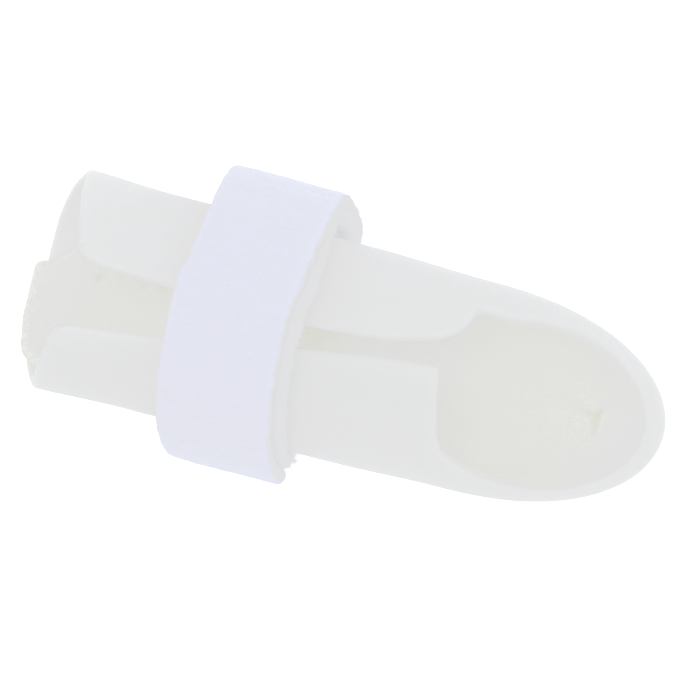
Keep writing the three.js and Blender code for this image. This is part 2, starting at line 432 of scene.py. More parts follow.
@dataclass(frozen=True)
class EdgePlan:
    """One long edge of a wall from above: along the slit, round the flange's corner and into the rim.

    Attributes:
        xs: The corners of its first part, along the axis.
        ys: The same corners, across it.
        rim_start_deg: The bearing at which the edge joins the window's rim.
        drop: How far below the rim it then runs.
        step: The distance between its points.
        corner_reach: About half the radius of its rounded corners.
        samples: The number of points on the first part before its corners are rounded.
    """

    xs: tuple[float, ...]
    ys: tuple[float, ...]
    rim_start_deg: float
    drop: float
    step: float
    corner_reach: float
    samples: int

    # How often the first part's heights are taken from the surface
    LAYING_ROUNDS = 12

    def run(self, form: SplintForm, opening: Opening, side: Side, inset: float) -> Array:
        """The edge, laid onto the form and rounded at its corners.

        Args:
            form: The form that it lies on.
            opening: The opening whose rim it follows.
            side: Which half.
            inset: How far the form's surface is drawn in.

        Returns:
            Points from the open end to the middle of the rim at the tip.
        """
        plan = np.stack([np.array(self.xs), np.array(self.ys), np.full(len(self.xs), form.back)], axis=1)
        dense = points_at(plan, np.linspace(0.0, run_lengths(plan)[-1], self.samples))
        for _ in range(self.LAYING_ROUNDS):
            dense[:, 2] = form.onto(dense, inset)[:, 2]
        rim = opening.rim_run(form, inset, side, self.rim_start_deg, self.drop)
        run = rounded_run(np.concatenate([dense, rim]), self.step, self.corner_reach)
        run = form.onto(run, inset)
        run[-1] = rim[-1]
        return run


# How the splint lies


@dataclass(frozen=True)
class TapeSize:
    """The strap's tape and how loosely it is wound, in millimetres and degrees round the loop.

    Attributes:
        width: The tape's width.
        thickness: Its thickness.
        turn_gap: The gap between the two turns.
        centre: Where the strap's middle crosses the shell's axis.
        clearance: The gap between the inner turn and the shell.
        slack: How much further the loop stands off on one side.
        flattening: How far the loop's underside is pressed flat on the floor.
        skew: How far the tape is pulled towards the tip.
        start_deg: Where the inner end lies, from the side of +y.
        step_start_deg: Where the tape begins to step out over its first turn.
        step_end_deg: Where it has stepped out.
        end_deg: Where the outer end lies.
    """

    width: float = 12.0
    thickness: float = 1.3
    turn_gap: float = 0.3
    centre: float = 20.5
    clearance: float = 0.35
    slack: float = 1.35
    flattening: float = 0.5
    skew: float = 0.35
    start_deg: float = -108.0
    step_start_deg: float = 202.0
    step_end_deg: float = 248.0
    end_deg: float = 548.0

    @property
    def layers(self) -> float:
        """The height of two turns with the gap between them."""
        return 2 * self.thickness + self.turn_gap


@dataclass
class Lie:
    """Where the shell's own axes lie in the splint's frame.

    The shell leans over the strap until the belly of its tip meets the floor.

    Attributes:
        form: The shell's outer form.
        tape: The strap's size.
        pitch: The lean, in radians.
        origin: The start of the shell's axis, in the splint's frame.
    """

    form: SplintForm
    tape: TapeSize
    pitch: float = field(init=False)
    origin: Array = field(init=False)

    def __post_init__(self) -> None:
        """Finds the pitch by halving an interval, and the place of the axis from the strap's node."""
        level, steep = 0.0, math.pi / 4
        for _ in range(40):
            half = (level + steep) / 2
            if self.tip_height(half) > 0:
                level = half
            else:
                steep = half
        self.pitch = level
        low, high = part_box("strap")
        strap_x = low[0] / MM + self.tape.width / 2
        strap_y = (low[1] + high[1]) / 2 / MM - (self.tape.slack - self.tape.clearance) / 2
        height = self.axis_height(level) + self.tape.centre * math.sin(level)
        self.origin = np.array([strap_x - self.tape.centre * math.cos(level), strap_y, height])

    def axis_height(self, angle: float) -> float:
        """The axis's height where the strap crosses it, for a pitch."""
        rise = self.tape.width / 2 * math.tan(angle)
        return self.tape.layers + self.tape.clearance + rise + self.form.palm / math.cos(angle)

    def tip_height(self, angle: float) -> float:
        """The lowest point of the palm wall above the floor.

        Args:
            angle: The pitch, in radians.

        Returns:
            The height in millimetres.
        """
        along = np.linspace(0.0, self.form.length - 0.01, 400)
        run = np.maximum(along - self.form.tube_length, 0.0) / self.form.tip_length
        left = np.sqrt(1.0 - run**self.form.tip_roundness)
        palm = self.form.palm * self.form.share(along, self.form.palm_shares) * left
        palm = palm - self.form.centre_height(along)
        axis = self.axis_height(angle) + (self.tape.centre - along) * math.sin(angle)
        return float((axis - palm * math.cos(angle)).min())

    def lay(self, points: Array) -> Array:
        """Points of the shell's own frame, turned by the pitch and moved into the splint's frame.

        Args:
            points: Points in the shell's frame.

        Returns:
            The points in the splint's frame.
        """
        cosine, sine = math.cos(self.pitch), math.sin(self.pitch)
        x = points[..., 0] * cosine + points[..., 2] * sine
        z = points[..., 2] * cosine - points[..., 0] * sine
        return np.stack([x, points[..., 1], z], axis=-1) + self.origin


# Meshes


def mesh_object(
    name: str, points: Array, faces: list[Array], uvs: Array | None = None, masks: Masks | None = None
) -> bpy.types.Object:
    """An object at the origin with a smooth-shaded mesh.

    Args:
        name: The object's name.
        points: Vertices in millimetres, one row each.
        faces: Corner indices, one row for each face and one array for each number of corners.
        uvs: One row of u and v for each face corner, if the piece has a pattern of its own.
        masks: One share for each vertex under each mask's name, for the tints of the piece's finish.

    Returns:
        The object, linked to the scene.
    """
    mesh = bpy.data.meshes.new(name)
    mesh.from_pydata((points * MM).tolist(), [], [face for part in faces for face in part.tolist()])
    if uvs is not None:
        layer = mesh.uv_layers.new(name="pattern")
        layer.data.foreach_set("uv", uvs.astype(np.float32).ravel())
    for mask, shares in (masks or {}).items():
        attribute = mesh.attributes.new(mask.value, "FLOAT", "POINT")
        attribute.data.foreach_set("value", shares.astype(np.float32).ravel())
    mesh.polygons.foreach_set("use_smooth", np.ones(len(mesh.polygons), dtype=bool))
    mesh.update()
    piece = bpy.data.objects.new(name, mesh)
    bpy.context.scene.collection.objects.link(piece)
    return piece


def grid_faces(rows: int, columns: int, wrap: bool = False) -> Array:
    """Four-cornered faces of a grid of vertices numbered row by row.

    Args:
        rows: The number of rows.
        columns: The number of columns.
        wrap: Whether the last column joins the first.

    Returns:
        One row of four indices for each face.
    """
    row = np.arange(rows - 1)[:, None]
    column = np.arange(columns if wrap else columns - 1)[None, :]
    after = (column + 1) % columns
    this, following = row * columns, (row + 1) * columns
    corners = [this + column, this + after, following + after, following + column]
    shape = (rows - 1, column.shape[1])
    return np.stack([np.broadcast_to(corner, shape) for corner in corners], axis=-1).reshape(-1, 4)


def close_seams(piece: bpy.types.Object, distance: float = 1e-7) -> None:
    """Joins the vertices that coincide, drops faces of no size and turns all faces outwards.

    Args:
        piece: The mesh object.
        distance: How near two vertices lie when they are one, in metres.
    """
    work = bmesh.new()
    work.from_mesh(piece.data)
    bmesh.ops.remove_doubles(work, verts=work.verts, dist=distance)
    bmesh.ops.dissolve_degenerate(work, edges=work.edges, dist=distance)
    bmesh.ops.recalc_face_normals(work, faces=work.faces)
    if work.calc_volume(signed=True) < 0.0:
        bmesh.ops.reverse_faces(work, faces=work.faces)
    work.to_mesh(piece.data)
    work.free()
    piece.data.polygons.foreach_set("use_smooth", np.ones(len(piece.data.polygons), dtype=bool))
    piece.data.update()


@dataclass
class WallSheet:
    """A wall of even thickness that follows the form, from two long edges down to the keel.

    Every row of the wall runs from a point of the left edge, round the palm side, to a point of the right
    edge. Its course is a curve of the second degree between the directions of its ends and its side, laid
    onto the form. The wall is thickest away from its edges and closes to nothing at them in a half circle.

    Attributes:
        form: The form that the wall follows.
        inset: The depth of the wall's middle surface.
        thickness: The wall's thickness.
        left: The left edge, from the open end to the tip.
        right: The right edge, likewise.
        end: Where the open end lies, as a function of points.
        rows: The number of rows.
        columns: The number of columns from each edge to the keel.
        skive: How much thinner the wall is at its edge round the window, taken off its inner face.
        skive_width: The width over which it thins.
        skive_from: Where along the axis the thinning begins.
        skive_ramp: The length over which it comes in.
    """

    form: SplintForm
    inset: float
    thickness: float
    left: Array
    right: Array
    end: Callable[[Array], Array]
    rows: int = 240
    columns: int = 56
    skive: float = 0.0
    skive_width: float = 3.2
    skive_from: float = 38.0
    skive_ramp: float = 6.0

    # Distances of the first points from an edge, as shares of half the thickness
    LIP_SHARES = (0.0, 0.04, 0.13, 0.28, 0.47, 0.7, 1.0)
    # Where the rows meet the keel, as shares of its run, against the shares of the edges' run
    KEEL_PLACES = (0.0, 0.5, 0.68, 1.0)
    KEEL_SHARES = (0.0, 0.44, 0.68, 1.0)
    # Where the keel's first guess starts, its points along the tube and its points round the tip
    KEEL_START = -6.0
    KEEL_TUBE = 200
    KEEL_TIP = 400
    # A first guess of the surface's distance from the axis
    RAY = 9.0
    # The points of a row before they are spaced out, and the length below which its lip is drawn closer
    DENSE_COLUMNS = 160
    NARROW = 4.0
    # How far from the open end the pull onto it has faded
    END_FADE = 14.0
    # The number of parts in which distances are worked out, to save memory
    BATCHES = 60

    def lip_run(self) -> Array:
        """Distances from an edge to its first points, close together over the lip's half circle."""
        return np.array(self.LIP_SHARES) * self.thickness / 2

    def row_places(self) -> Array:
        """Shares of the edges' run at which the rows lie, close together at the open end's lip.

        Returns:
            Rising shares from 0 to 1, one for each row.
        """
        lip = self.lip_run()
        run = run_lengths(self.left)[-1]
        rest = np.linspace(lip[-1], run, self.rows - len(lip) + 1)[1:]
        return np.concatenate([lip, rest]) / run

    def keel(self, places: Array) -> Array:
        """Points along the middle of the palm wall, up over the tip to where the two edges meet.

        Args:
            places: Shares of the edges' run.

        Returns:
            One point of the middle surface for each share.
        """
        meeting = self.left[-1]
        tube = self.form.tube_length
        along = np.linspace(self.KEEL_START, tube, self.KEEL_TUBE)
        reach = np.concatenate([along, np.full(self.KEEL_TIP, tube)])
        angle = np.concatenate([np.full(self.KEEL_TUBE, -90.0), np.linspace(-90.0, 90.0, self.KEEL_TIP)])
        ray = np.radians(angle)
        guess = np.stack([reach + self.RAY * np.cos(ray), 0 * ray, self.RAY * np.sin(ray)], axis=1)
        line = self.form.onto(guess, self.inset)
        lowest = np.array([[0.0, 0.0, -self.form.palm]])
        start = np.searchsorted(line[:, 0], self.end(lowest)[0])
        stop = len(line) - np.argmax(line[::-1, 0] > meeting[0])
        line = np.concatenate([line[start : stop - 1], meeting[None]])
        eased = np.interp(places, self.KEEL_PLACES, self.KEEL_SHARES)
        return points_at(line, rounded_ramp(eased) * run_lengths(line)[-1])

    def half(self, edge: Array, keel: Array, side: Side) -> Array:
        """The wall's middle surface between one edge and the keel.

        Args:
            edge: One edge point for each row.
            keel: One keel point for each row.
            side: Which half.

        Returns:
            An array of rows by columns of points, from the edge to the keel.
        """
        tube = self.form.tube_length
        edge_root = np.minimum(edge[:, 0], tube)
        keel_root = np.minimum(keel[:, 0], tube)
        edge_way = edge - np.stack([edge_root, 0 * edge_root, 0 * edge_root], axis=1)
        keel_way = keel - np.stack([keel_root, 0 * keel_root, 0 * keel_root], axis=1)
        edge_way, keel_way = unit(edge_way), unit(keel_way)
        spread = np.linalg.norm(edge_way - keel_way, axis=1, keepdims=True) / 2
        side_way = (edge_way + keel_way) / 2 + spread * np.array([0.0, side.value, 0.0])
        v = np.linspace(0.0, 1.0, self.DENSE_COLUMNS)[None, :, None]
        way = (1 - v) ** 2 * edge_way[:, None] + 2 * v * (1 - v) * side_way[:, None]
        way = way + v**2 * keel_way[:, None]
        root = np.zeros_like(way)
        root[..., 0] = (1 - v[..., 0]) * edge_root[:, None] + v[..., 0] * keel_root[:, None]
        dense = self.form.onto(root + unit(way) * self.RAY, self.inset)
        dense[:, 0] = edge
        dense[:, -1] = keel
        return self.spaced(dense)

    def spaced(self, rows: Array) -> Array:
        """Rows of points laid out again, close together at the edge and ever wider towards the keel.

        Args:
            rows: Rows of points, each from the edge to the keel.

        Returns:
            As many rows with the wall's number of columns, drawn closer where a row is short.
        """
        lip = self.lip_run()
        growth = np.linspace(0.0, 1.0, self.columns - len(lip) + 1)[1:]
        growth = growth * (0.55 + 0.45 * growth)
        laid = np.empty((len(rows), self.columns, 3))
        for k, row in enumerate(rows):
            length = run_lengths(row)[-1]
            scale = min(1.0, length / self.NARROW)
            rest = lip[-1] * scale + (length - lip[-1] * scale) * growth
            laid[k] = points_at(row, np.concatenate([lip * scale, rest]))
        return laid

    def middle(self) -> Array:
        """The whole middle surface, drawn onto the open end by a pull that fades past it.

        Returns:
            Rows by columns of points.
        """
        places = self.row_places()
        left = points_at(self.left, places * run_lengths(self.left)[-1])
        right = points_at(self.right, places * run_lengths(self.right)[-1])
        keel = self.keel(places)
        halves = [self.half(left, keel, Side.LEFT), self.half(right, keel, Side.RIGHT)]
        surface = np.concatenate([halves[0], halves[1][:, -2::-1]], axis=1)
        shift = self.end(surface[0]) - surface[0, :, 0]
        shift[0] = shift[-1] = 0.0
        fade = 1.0 - smooth_step(0.0, self.END_FADE, places * run_lengths(self.left)[-1])
        surface[..., 0] += shift[None] * fade[:, None]
        inner = surface[:, 1:-1]
        surface[:, 1:-1] = self.form.onto(inner, self.inset)
        return surface

    def edge_distance(self, surface: Array) -> Array:
        """The distance of the middle surface from the wall's edge.

        Args:
            surface: Rows by columns of points.

        Returns:
            One distance for each point, 0 on the borders of the grid.
        """
        edge = np.concatenate([self.left, self.right[::-1], surface[0]])
        flat = surface.reshape(-1, 3)
        nearest = np.full(len(flat), np.inf)
        for part in np.array_split(np.arange(len(flat)), self.BATCHES):
            gap = np.linalg.norm(flat[part, None] - edge[None], axis=2)
            nearest[part] = gap.min(axis=1)
        nearest = nearest.reshape(surface.shape[:2])
        nearest[0] = 0.0
        nearest[-1] = 0.0
        nearest[:, 0] = 0.0
        nearest[:, -1] = 0.0
        return nearest

    def faces_of(self) -> tuple[Array, Array, Array]:
        """The wall's middle points, their normals and half the wall's thickness at each.

        Half the thickness is the height of a quarter circle over the distance from the edge. Where the wall
        is skived, it thins by an eased ramp over that distance, and its middle moves outwards by half of
        what is taken off.

        Returns:
            Points, normals and half thicknesses, rows by columns.
        """
        surface = self.middle()
        normals = self.form.normals(surface, self.inset)
        distance = self.edge_distance(surface)
        taken = self.skive * (1.0 - smooth_step(0.0, self.skive_width, distance))
        taken = taken * smooth_step(self.skive_from, self.skive_from + self.skive_ramp, surface[..., 0])
        half = (self.thickness - taken) / 2
        share = np.clip(distance / half, 0.0, 1.0)
        return surface + normals * (taken / 2)[..., None], normals, half * np.sqrt(1.0 - (1.0 - share) ** 2)


def rounded_ramp(values: Array, width: int = 21) -> Array:
    """A rising row of numbers with its bends eased by a running mean under a raised cosine.

    Args:
        values: The numbers.
        width: How many neighbours on each side count.

    Returns:
        The eased numbers, the first and last kept.
    """
    before = 2 * values[0] - values[width:0:-1]
    after = 2 * values[-1] - values[-2 : -width - 2 : -1]
    padded = np.concatenate([before, values, after])
    kernel = np.hanning(2 * width + 1)
    eased = np.convolve(padded, kernel / kernel.sum(), mode="valid")
    eased[0], eased[-1] = values[0], values[-1]
    return np.maximum.accumulate(eased)


def two_sided(name: str, outer: Array, inner: Array, masks: Masks) -> bpy.types.Object:
    """A closed wall from its outer and inner grids, which meet along their borders.

    Args:
        name: The object's name.
        outer: The outer face, rows by columns of points in the splint's frame.
        inner: The inner face, likewise.
        masks: Shares of each tint, rows by columns.

    Returns:
        The wall's object.
    """
    rows, columns = outer.shape[:2]
    faces = grid_faces(rows, columns)
    count = rows * columns
    points = np.concatenate([outer.reshape(-1, 3), inner.reshape(-1, 3)])
    both = {mask: np.tile(shares.ravel(), 2) for mask, shares in masks.items()}
    piece = mesh_object(name, points, [faces, faces[:, ::-1] + count], masks=both)
    close_seams(piece)
    return piece


# Materials


@dataclass(frozen=True)
class Finish:
    """A surface finish.

    Attributes:
        name: The material's name.
        colour: The base colour, linear red, green and blue.
        roughness: The surface's roughness.
        specular: The specular level.
        translucence: The weight of light scattered under the surface.
        scatter: How far each colour of that light travels, in metres.
        sheen: The weight of the soft rim light of fibres.
    """

    name: str
    colour: tuple[float, float, float]
    roughness: float
    specular: float = 0.5
    translucence: float = 0.0
    scatter: tuple[float, float, float] = (0.001, 0.001, 0.001)
    sheen: float = 0.0

    def build(self) -> tuple[bpy.types.Material, Tree, bpy.types.Node]:
        """A new material with the finish on its Principled shader.

        Returns:
            The material, its node tree and the shader.
        """
        material = bpy.data.materials.new(self.name)
        material.use_nodes = True
        material.diffuse_color = (*self.colour, 1.0)
        tree = material.node_tree
        shader = tree.nodes["Principled BSDF"]
        shader.inputs["Base Color"].default_value = (*self.colour, 1.0)
        shader.inputs["Roughness"].default_value = self.roughness
        shader.inputs["Specular IOR Level"].default_value = self.specular
        shader.inputs["Subsurface Weight"].default_value = self.translucence
        shader.inputs["Subsurface Radius"].default_value = self.scatter
        shader.inputs["Subsurface Scale"].default_value = 1.0
        shader.inputs["Sheen Weight"].default_value = self.sheen
        return material, tree, shader


PLASTIC = Finish("milky_plastic", (0.775, 0.785, 0.795), 0.5, 0.22, 0.5, (0.0015, 0.0015, 0.0015))
FOAM = Finish("cream_foam", (0.89, 0.908, 0.69), 0.95, 0.2, 0.4, (0.0006, 0.0006, 0.0005))
TAPE = Finish("white_tape", (0.76, 0.79, 0.9), 0.9, 0.15, 0.3, (0.0006, 0.0006, 0.0006), 0.15)
FLOOR = Finish("pale_floor", (0.94, 0.94, 0.94), 0.9, 0.0)


def new_group(name: str, numbers: tuple[str, ...], others: dict[str, str], result: tuple[str, str]) -> Tree:
    """A node group with its sockets and the nodes of its two ends.

    Args:
        name: The group's name.
        numbers: The names of its inputs that are plain numbers.
        others: The socket types of its other inputs under their names.
        result: The name and socket type of its output.

    Returns:
        The group, with the nodes "Group Input" and "Group Output".
    """
    group = bpy.data.node_groups.new(name, "ShaderNodeTree")
    for socket, kind in others.items():
        group.interface.new_socket(socket, in_out="INPUT", socket_type=kind)
    for socket in numbers:
        group.interface.new_socket(socket, in_out="INPUT", socket_type="NodeSocketFloat")
    group.interface.new_socket(result[0], in_out="OUTPUT", socket_type=result[1])
    group.nodes.new("NodeGroupInput")
    group.nodes.new("NodeGroupOutput")
    return group


def sum_node(tree: Tree, operation: str, clamped: bool = False, **constants: float) -> bpy.types.Node:
    """A node that does one sum.

    Args:
        tree: The node tree that it goes into.
        operation: The sum.
        clamped: Whether its result is held between 0 and 1.
        **constants: The second and third inputs' values, where they are fixed.

    Returns:
        The node.
    """
    node = tree.nodes.new("ShaderNodeMath")
    node.operation = operation
    node.use_clamp = clamped
    for place, name in enumerate(("second", "third"), start=1):
        if name in constants:
            node.inputs[place].default_value = constants[name]
    return node


def grain_group() -> Tree:
    """The shared group for fine grain.

    A coarse and a fine noise are mixed to one height. Before that the fine one turns, by a share, into
    short winding veins, which follow the places where it is halfway: one less five times its distance
    from a half.

    Returns:
        A node group that takes a Vector, a coarse and a fine Scale, a Balance and a share of Veins, and
        puts out Height.
    """
    numbers = ("Coarse Scale", "Fine Scale", "Balance", "Veins")
    height = ("Height", "NodeSocketFloat")
    group = new_group("fine_grain", numbers, {"Vector": "NodeSocketVector"}, height)
    source, result = group.nodes["Group Input"], group.nodes["Group Output"]
    coarse = group.nodes.new("ShaderNodeTexNoise")
    fine = group.nodes.new("ShaderNodeTexNoise")
    coarse.inputs["Detail"].default_value = 3.0
    fine.inputs["Detail"].default_value = 1.0
    centred = sum_node(group, "SUBTRACT", second=0.5)
    away = sum_node(group, "ABSOLUTE")
    vein = sum_node(group, "MULTIPLY_ADD", clamped=True, second=-5.0, third=1.0)
    kind = group.nodes.new("ShaderNodeMix")
    mix = group.nodes.new("ShaderNodeMix")
    links = group.links
    links.new(source.outputs["Vector"], coarse.inputs["Vector"])
    links.new(source.outputs["Vector"], fine.inputs["Vector"])
    links.new(source.outputs["Coarse Scale"], coarse.inputs["Scale"])
    links.new(source.outputs["Fine Scale"], fine.inputs["Scale"])
    links.new(fine.outputs["Fac"], centred.inputs[0])
    links.new(centred.outputs[0], away.inputs[0])
    links.new(away.outputs[0], vein.inputs[0])
    links.new(source.outputs["Veins"], kind.inputs["Factor"])
    links.new(fine.outputs["Fac"], kind.inputs["A"])
    links.new(vein.outputs[0], kind.inputs["B"])
    links.new(source.outputs["Balance"], mix.inputs["Factor"])
    links.new(coarse.outputs["Fac"], mix.inputs["A"])
    links.new(kind.outputs["Result"], mix.inputs["B"])
    links.new(mix.outputs["Result"], result.inputs["Height"])
    return group


def tint_group() -> Tree:
    """The shared group for tints: the grain breaks a mask up, and the mask blends the tint over the colour.

    The tint's share is the mask times the sum of Base and Gain times Height, held between 0 and 1.

    Returns:
        A node group that takes a Colour, a Tint, a Height, a Mask, a Gain and a Base, and puts out Colour.
    """
    colours = {"Colour": "NodeSocketColor", "Tint": "NodeSocketColor"}
    result = ("Colour", "NodeSocketColor")
    group = new_group("masked_tint", ("Height", "Mask", "Gain", "Base"), colours, result)
    source, result = group.nodes["Group Input"], group.nodes["Group Output"]
    patchy = sum_node(group, "MULTIPLY_ADD")
    share = sum_node(group, "MULTIPLY", clamped=True)
    blend = group.nodes.new("ShaderNodeMix")
    blend.data_type = "RGBA"
    links = group.links
    links.new(source.outputs["Height"], patchy.inputs[0])
    links.new(source.outputs["Gain"], patchy.inputs[1])
    links.new(source.outputs["Base"], patchy.inputs[2])
    links.new(patchy.outputs[0], share.inputs[0])
    links.new(source.outputs["Mask"], share.inputs[1])
    links.new(share.outputs[0], blend.inputs[0])
    links.new(source.outputs["Colour"], blend.inputs[6])
    links.new(source.outputs["Tint"], blend.inputs[7])
    links.new(blend.outputs[2], result.inputs["Colour"])
    return group


@dataclass(frozen=True)
class Groups:
    """The node groups that the materials share, each built once."""

    grain: Tree = field(default_factory=grain_group)
    tint: Tree = field(default_factory=tint_group)


@dataclass(frozen=True)
class Tint:
    """A tint that a mask lays over a finish.

    Attributes:
        mask: The mask.
        colour: The tint's colour, linear.
        broken: How far the grain breaks the tint up: 0 leaves it even, and 2 leaves patches.
    """

    mask: Mask
    colour: tuple[float, float, float]
    broken: float = 0.0

    def lay(self, tree: Tree, group: Tree, height: Socket, colour: Socket) -> Socket:
        """The colour with this tint over it.

        Args:
            tree: The material's node tree.
            group: The shared tint group.
            height: The grain's height.
            colour: The colour below.

        Returns:
            The socket that puts out the tinted colour.
        """
        mask = tree.nodes.new("ShaderNodeAttribute")
        mask.attribute_name = self.mask.value
        node = tree.nodes.new("ShaderNodeGroup")
        node.node_tree = group
        node.inputs["Tint"].default_value = (*self.colour, 1.0)
        node.inputs["Gain"].default_value = 2.0 * self.broken
        node.inputs["Base"].default_value = 1.0 - self.broken
        tree.links.new(height, node.inputs["Height"])
        tree.links.new(mask.outputs["Fac"], node.inputs["Mask"])
        tree.links.new(colour, node.inputs["Colour"])
        return node.outputs["Colour"]


@dataclass(frozen=True)
class Grain:
    """How the shared grain is placed in one material.

    Attributes:
        space: The coordinates that it follows.
        stretch: The scale of the coordinates along each axis.
        coarse: The coarse noise's scale.
        fine: The fine noise's scale.
        balance: The share of the fine noise in the height.
        veins: How far the fine noise is drawn out into veins.
        depth: The bump's distance in metres.
        strength: The bump's strength.
        dark: The colour in the hollows, as a share of the finish's colour.
        tints: The tints that show where the piece's masks say.
        hollow: The height up to which the colour is dark.
        crest: The height from which it is the finish's own.
    """

    space: BumpSpace
    stretch: tuple[float, float, float]
    coarse: float
    fine: float
    balance: float
    veins: float
    depth: float
    strength: float
    dark: tuple[float, float, float]
    tints: tuple[Tint, ...] = ()
    hollow: float = 0.3
    crest: float = 0.62

    def dress(self, finish: Finish, groups: Groups) -> bpy.types.Material:
        """The finish with this grain in its colour and bump.

        Args:
            finish: The finish.
            groups: The shared node groups.

        Returns:
            The material.
        """
        material, tree, shader = finish.build()
        nodes, links = tree.nodes, tree.links
        place = nodes.new("ShaderNodeTexCoord")
        mapping = nodes.new("ShaderNodeMapping")
        mapping.inputs["Scale"].default_value = self.stretch
        grain = nodes.new("ShaderNodeGroup")
        grain.node_tree = groups.grain
        grain.inputs["Coarse Scale"].default_value = self.coarse
        grain.inputs["Fine Scale"].default_value = self.fine
        grain.inputs["Balance"].default_value = self.balance
        grain.inputs["Veins"].default_value = self.veins
        height = grain.outputs["Height"]
        ramp = nodes.new("ShaderNodeValToRGB")
        low, high = ramp.color_ramp.elements
        low.position, high.position = self.hollow, self.crest
        low.color = (*(c * d for c, d in zip(finish.colour, self.dark)), 1.0)
        high.color = (*finish.colour, 1.0)
        bump = nodes.new("ShaderNodeBump")
        bump.inputs["Strength"].default_value = self.strength
        bump.inputs["Distance"].default_value = self.depth
        links.new(place.outputs[self.space.value], mapping.inputs["Vector"])
        links.new(mapping.outputs["Vector"], grain.inputs["Vector"])
        links.new(height, ramp.inputs["Fac"])
        links.new(height, bump.inputs["Height"])
        colour = ramp.outputs["Color"]
        for tint in self.tints:
            colour = tint.lay(tree, groups.tint, height, colour)
        links.new(colour, shader.inputs["Base Color"])
        links.new(bump.outputs["Normal"], shader.inputs["Normal"])
        return material


PLASTIC_GRAIN = Grain(
    space=BumpSpace.OBJECT,
    stretch=(1.0, 1.0, 1.0),
    coarse=420.0,
    fine=1500.0,
    balance=0.45,
    veins=0.0,
    depth=0.00004,
    strength=0.25,
    dark=(0.975, 0.975, 0.97),
    tints=(Tint(Mask.BACKING, (0.68, 0.788, 0.742), 2.2),),
)
FOAM_GRAIN = Grain(
    space=BumpSpace.OBJECT,
    stretch=(1.0, 1.0, 1.0),
    coarse=260.0,
    fine=1700.0,
    balance=0.55,
    veins=0.8,
    depth=0.00026,
    strength=0.9,
    dark=(0.925, 0.93, 0.855),
    tints=(
        # painted light: paler foam under the strap and the flanges, standing in for light through the milky
        # shell
        Tint(Mask.CLEAN, (0.97, 0.98, 0.87)),
        Tint(Mask.PALENESS, (0.845, 0.86, 0.86), 0.2),
        # painted shade: darker in the fold's grooves and the pits, the more the deeper they are cut
        Tint(Mask.FOLD, (0.62, 0.64, 0.36), 0.2),
    ),
)
TAPE_GRAIN = Grain(
    space=BumpSpace.UV,
    stretch=(0.32, 1.0, 1.0),
    coarse=900.0,
    fine=2600.0,
    balance=0.5,
    veins=0.3,
    depth=0.00012,
    strength=0.45,
    dark=(0.965, 0.965, 0.975),
    # partly fraying, partly painted shade: darker on the tape's edge on the tip's side and on the inner
    # turn's strip
    tints=(Tint(Mask.WORN, (0.63, 0.67, 0.76), 0.6),),
)


# The shell


@dataclass
class Shell:
    """The milky plastic shell, one moulding with a slit between two flanges and a window over the nail.

    Attributes:
        form: The outer form.
        opening: The open end and the window's rim.
        lie: How the shell lies.
        wall: The wall's thickness.
        left_plan: The long edge on the side of +y.
        right_plan: The long edge on the other side, which crosses over to +y near the window.
        backing_run: Where along the axis the foam shows through the flange.
        backing_depth: How far below the slit's edge it does.
    """

    form: SplintForm
    opening: Opening
    lie: Lie
    wall: float = 1.0
    left_plan: EdgePlan = EdgePlan(
        xs=(1.95, 2.1, 2.9, 4.4, 12.3, 25.3, 33.0, 36.7, 38.6, 40.1, 40.9, 41.3),
        ys=(3.75, 2.95, 2.3, 2.1, 1.75, 1.55, 2.1, 3.05, 3.7, 4.75, 6.0, 7.3),
        rim_start_deg=76.0,
        drop=0.0,
        step=0.12,
        corner_reach=0.42,
        samples=500,
    )
    right_plan: EdgePlan = EdgePlan(
        xs=(1.35, 1.5, 2.4, 12.2, 25.9, 35.3, 39.1, 39.5, 40.4, 41.2),
        ys=(-5.6, -4.7, -4.3, -3.07, -0.66, 0.73, 0.98, -1.2, -5.35, -7.0),
        rim_start_deg=76.0,
        drop=0.0,
        step=0.12,
        corner_reach=0.42,
        samples=500,
    )
    backing_run: Stretch = Stretch((20.0, 26.0), (37.5, 40.5))
    backing_depth: Stretch = Stretch((-0.2, 2.0), (2.6, 5.8))

    def build(self) -> bpy.types.Object:
        """The shell's closed mesh.

        Returns:
            The shell's object.
        """
        inset = self.wall / 2
        wall = WallSheet(
            form=self.form,
            inset=inset,
            thickness=self.wall,
            left=self.left_plan.run(self.form, self.opening, Side.LEFT, inset),
            right=self.right_plan.run(self.form, self.opening, Side.RIGHT, inset),
            end=lambda points: self.opening.end_at(points[..., 2], self.form),
        )
        surface, normals, half = wall.faces_of()
        outer = self.lie.lay(surface + normals * half[..., None])
        inner = self.lie.lay(surface - normals * half[..., None])
        return two_sided("shell_moulding", outer, inner, {Mask.BACKING: self.backing(surface)})

    def backing(self, surface: Array) -> Array:
        """How strongly the foam shows through the flange beside the narrow end of the slit.

        It rises just below the slit's edge, fades over a few millimetres and lies between the strap and the
        window.

        Args:
            surface: Points of the wall's middle.

        Returns:
            One share for each point.
        """
        x, y, z = surface[..., 0], surface[..., 1], surface[..., 2]
        below = np.interp(x, self.right_plan.xs, self.right_plan.ys) - y
        return self.backing_depth.at(below) * self.backing_run.at(x) * (z > 0)


# The foam


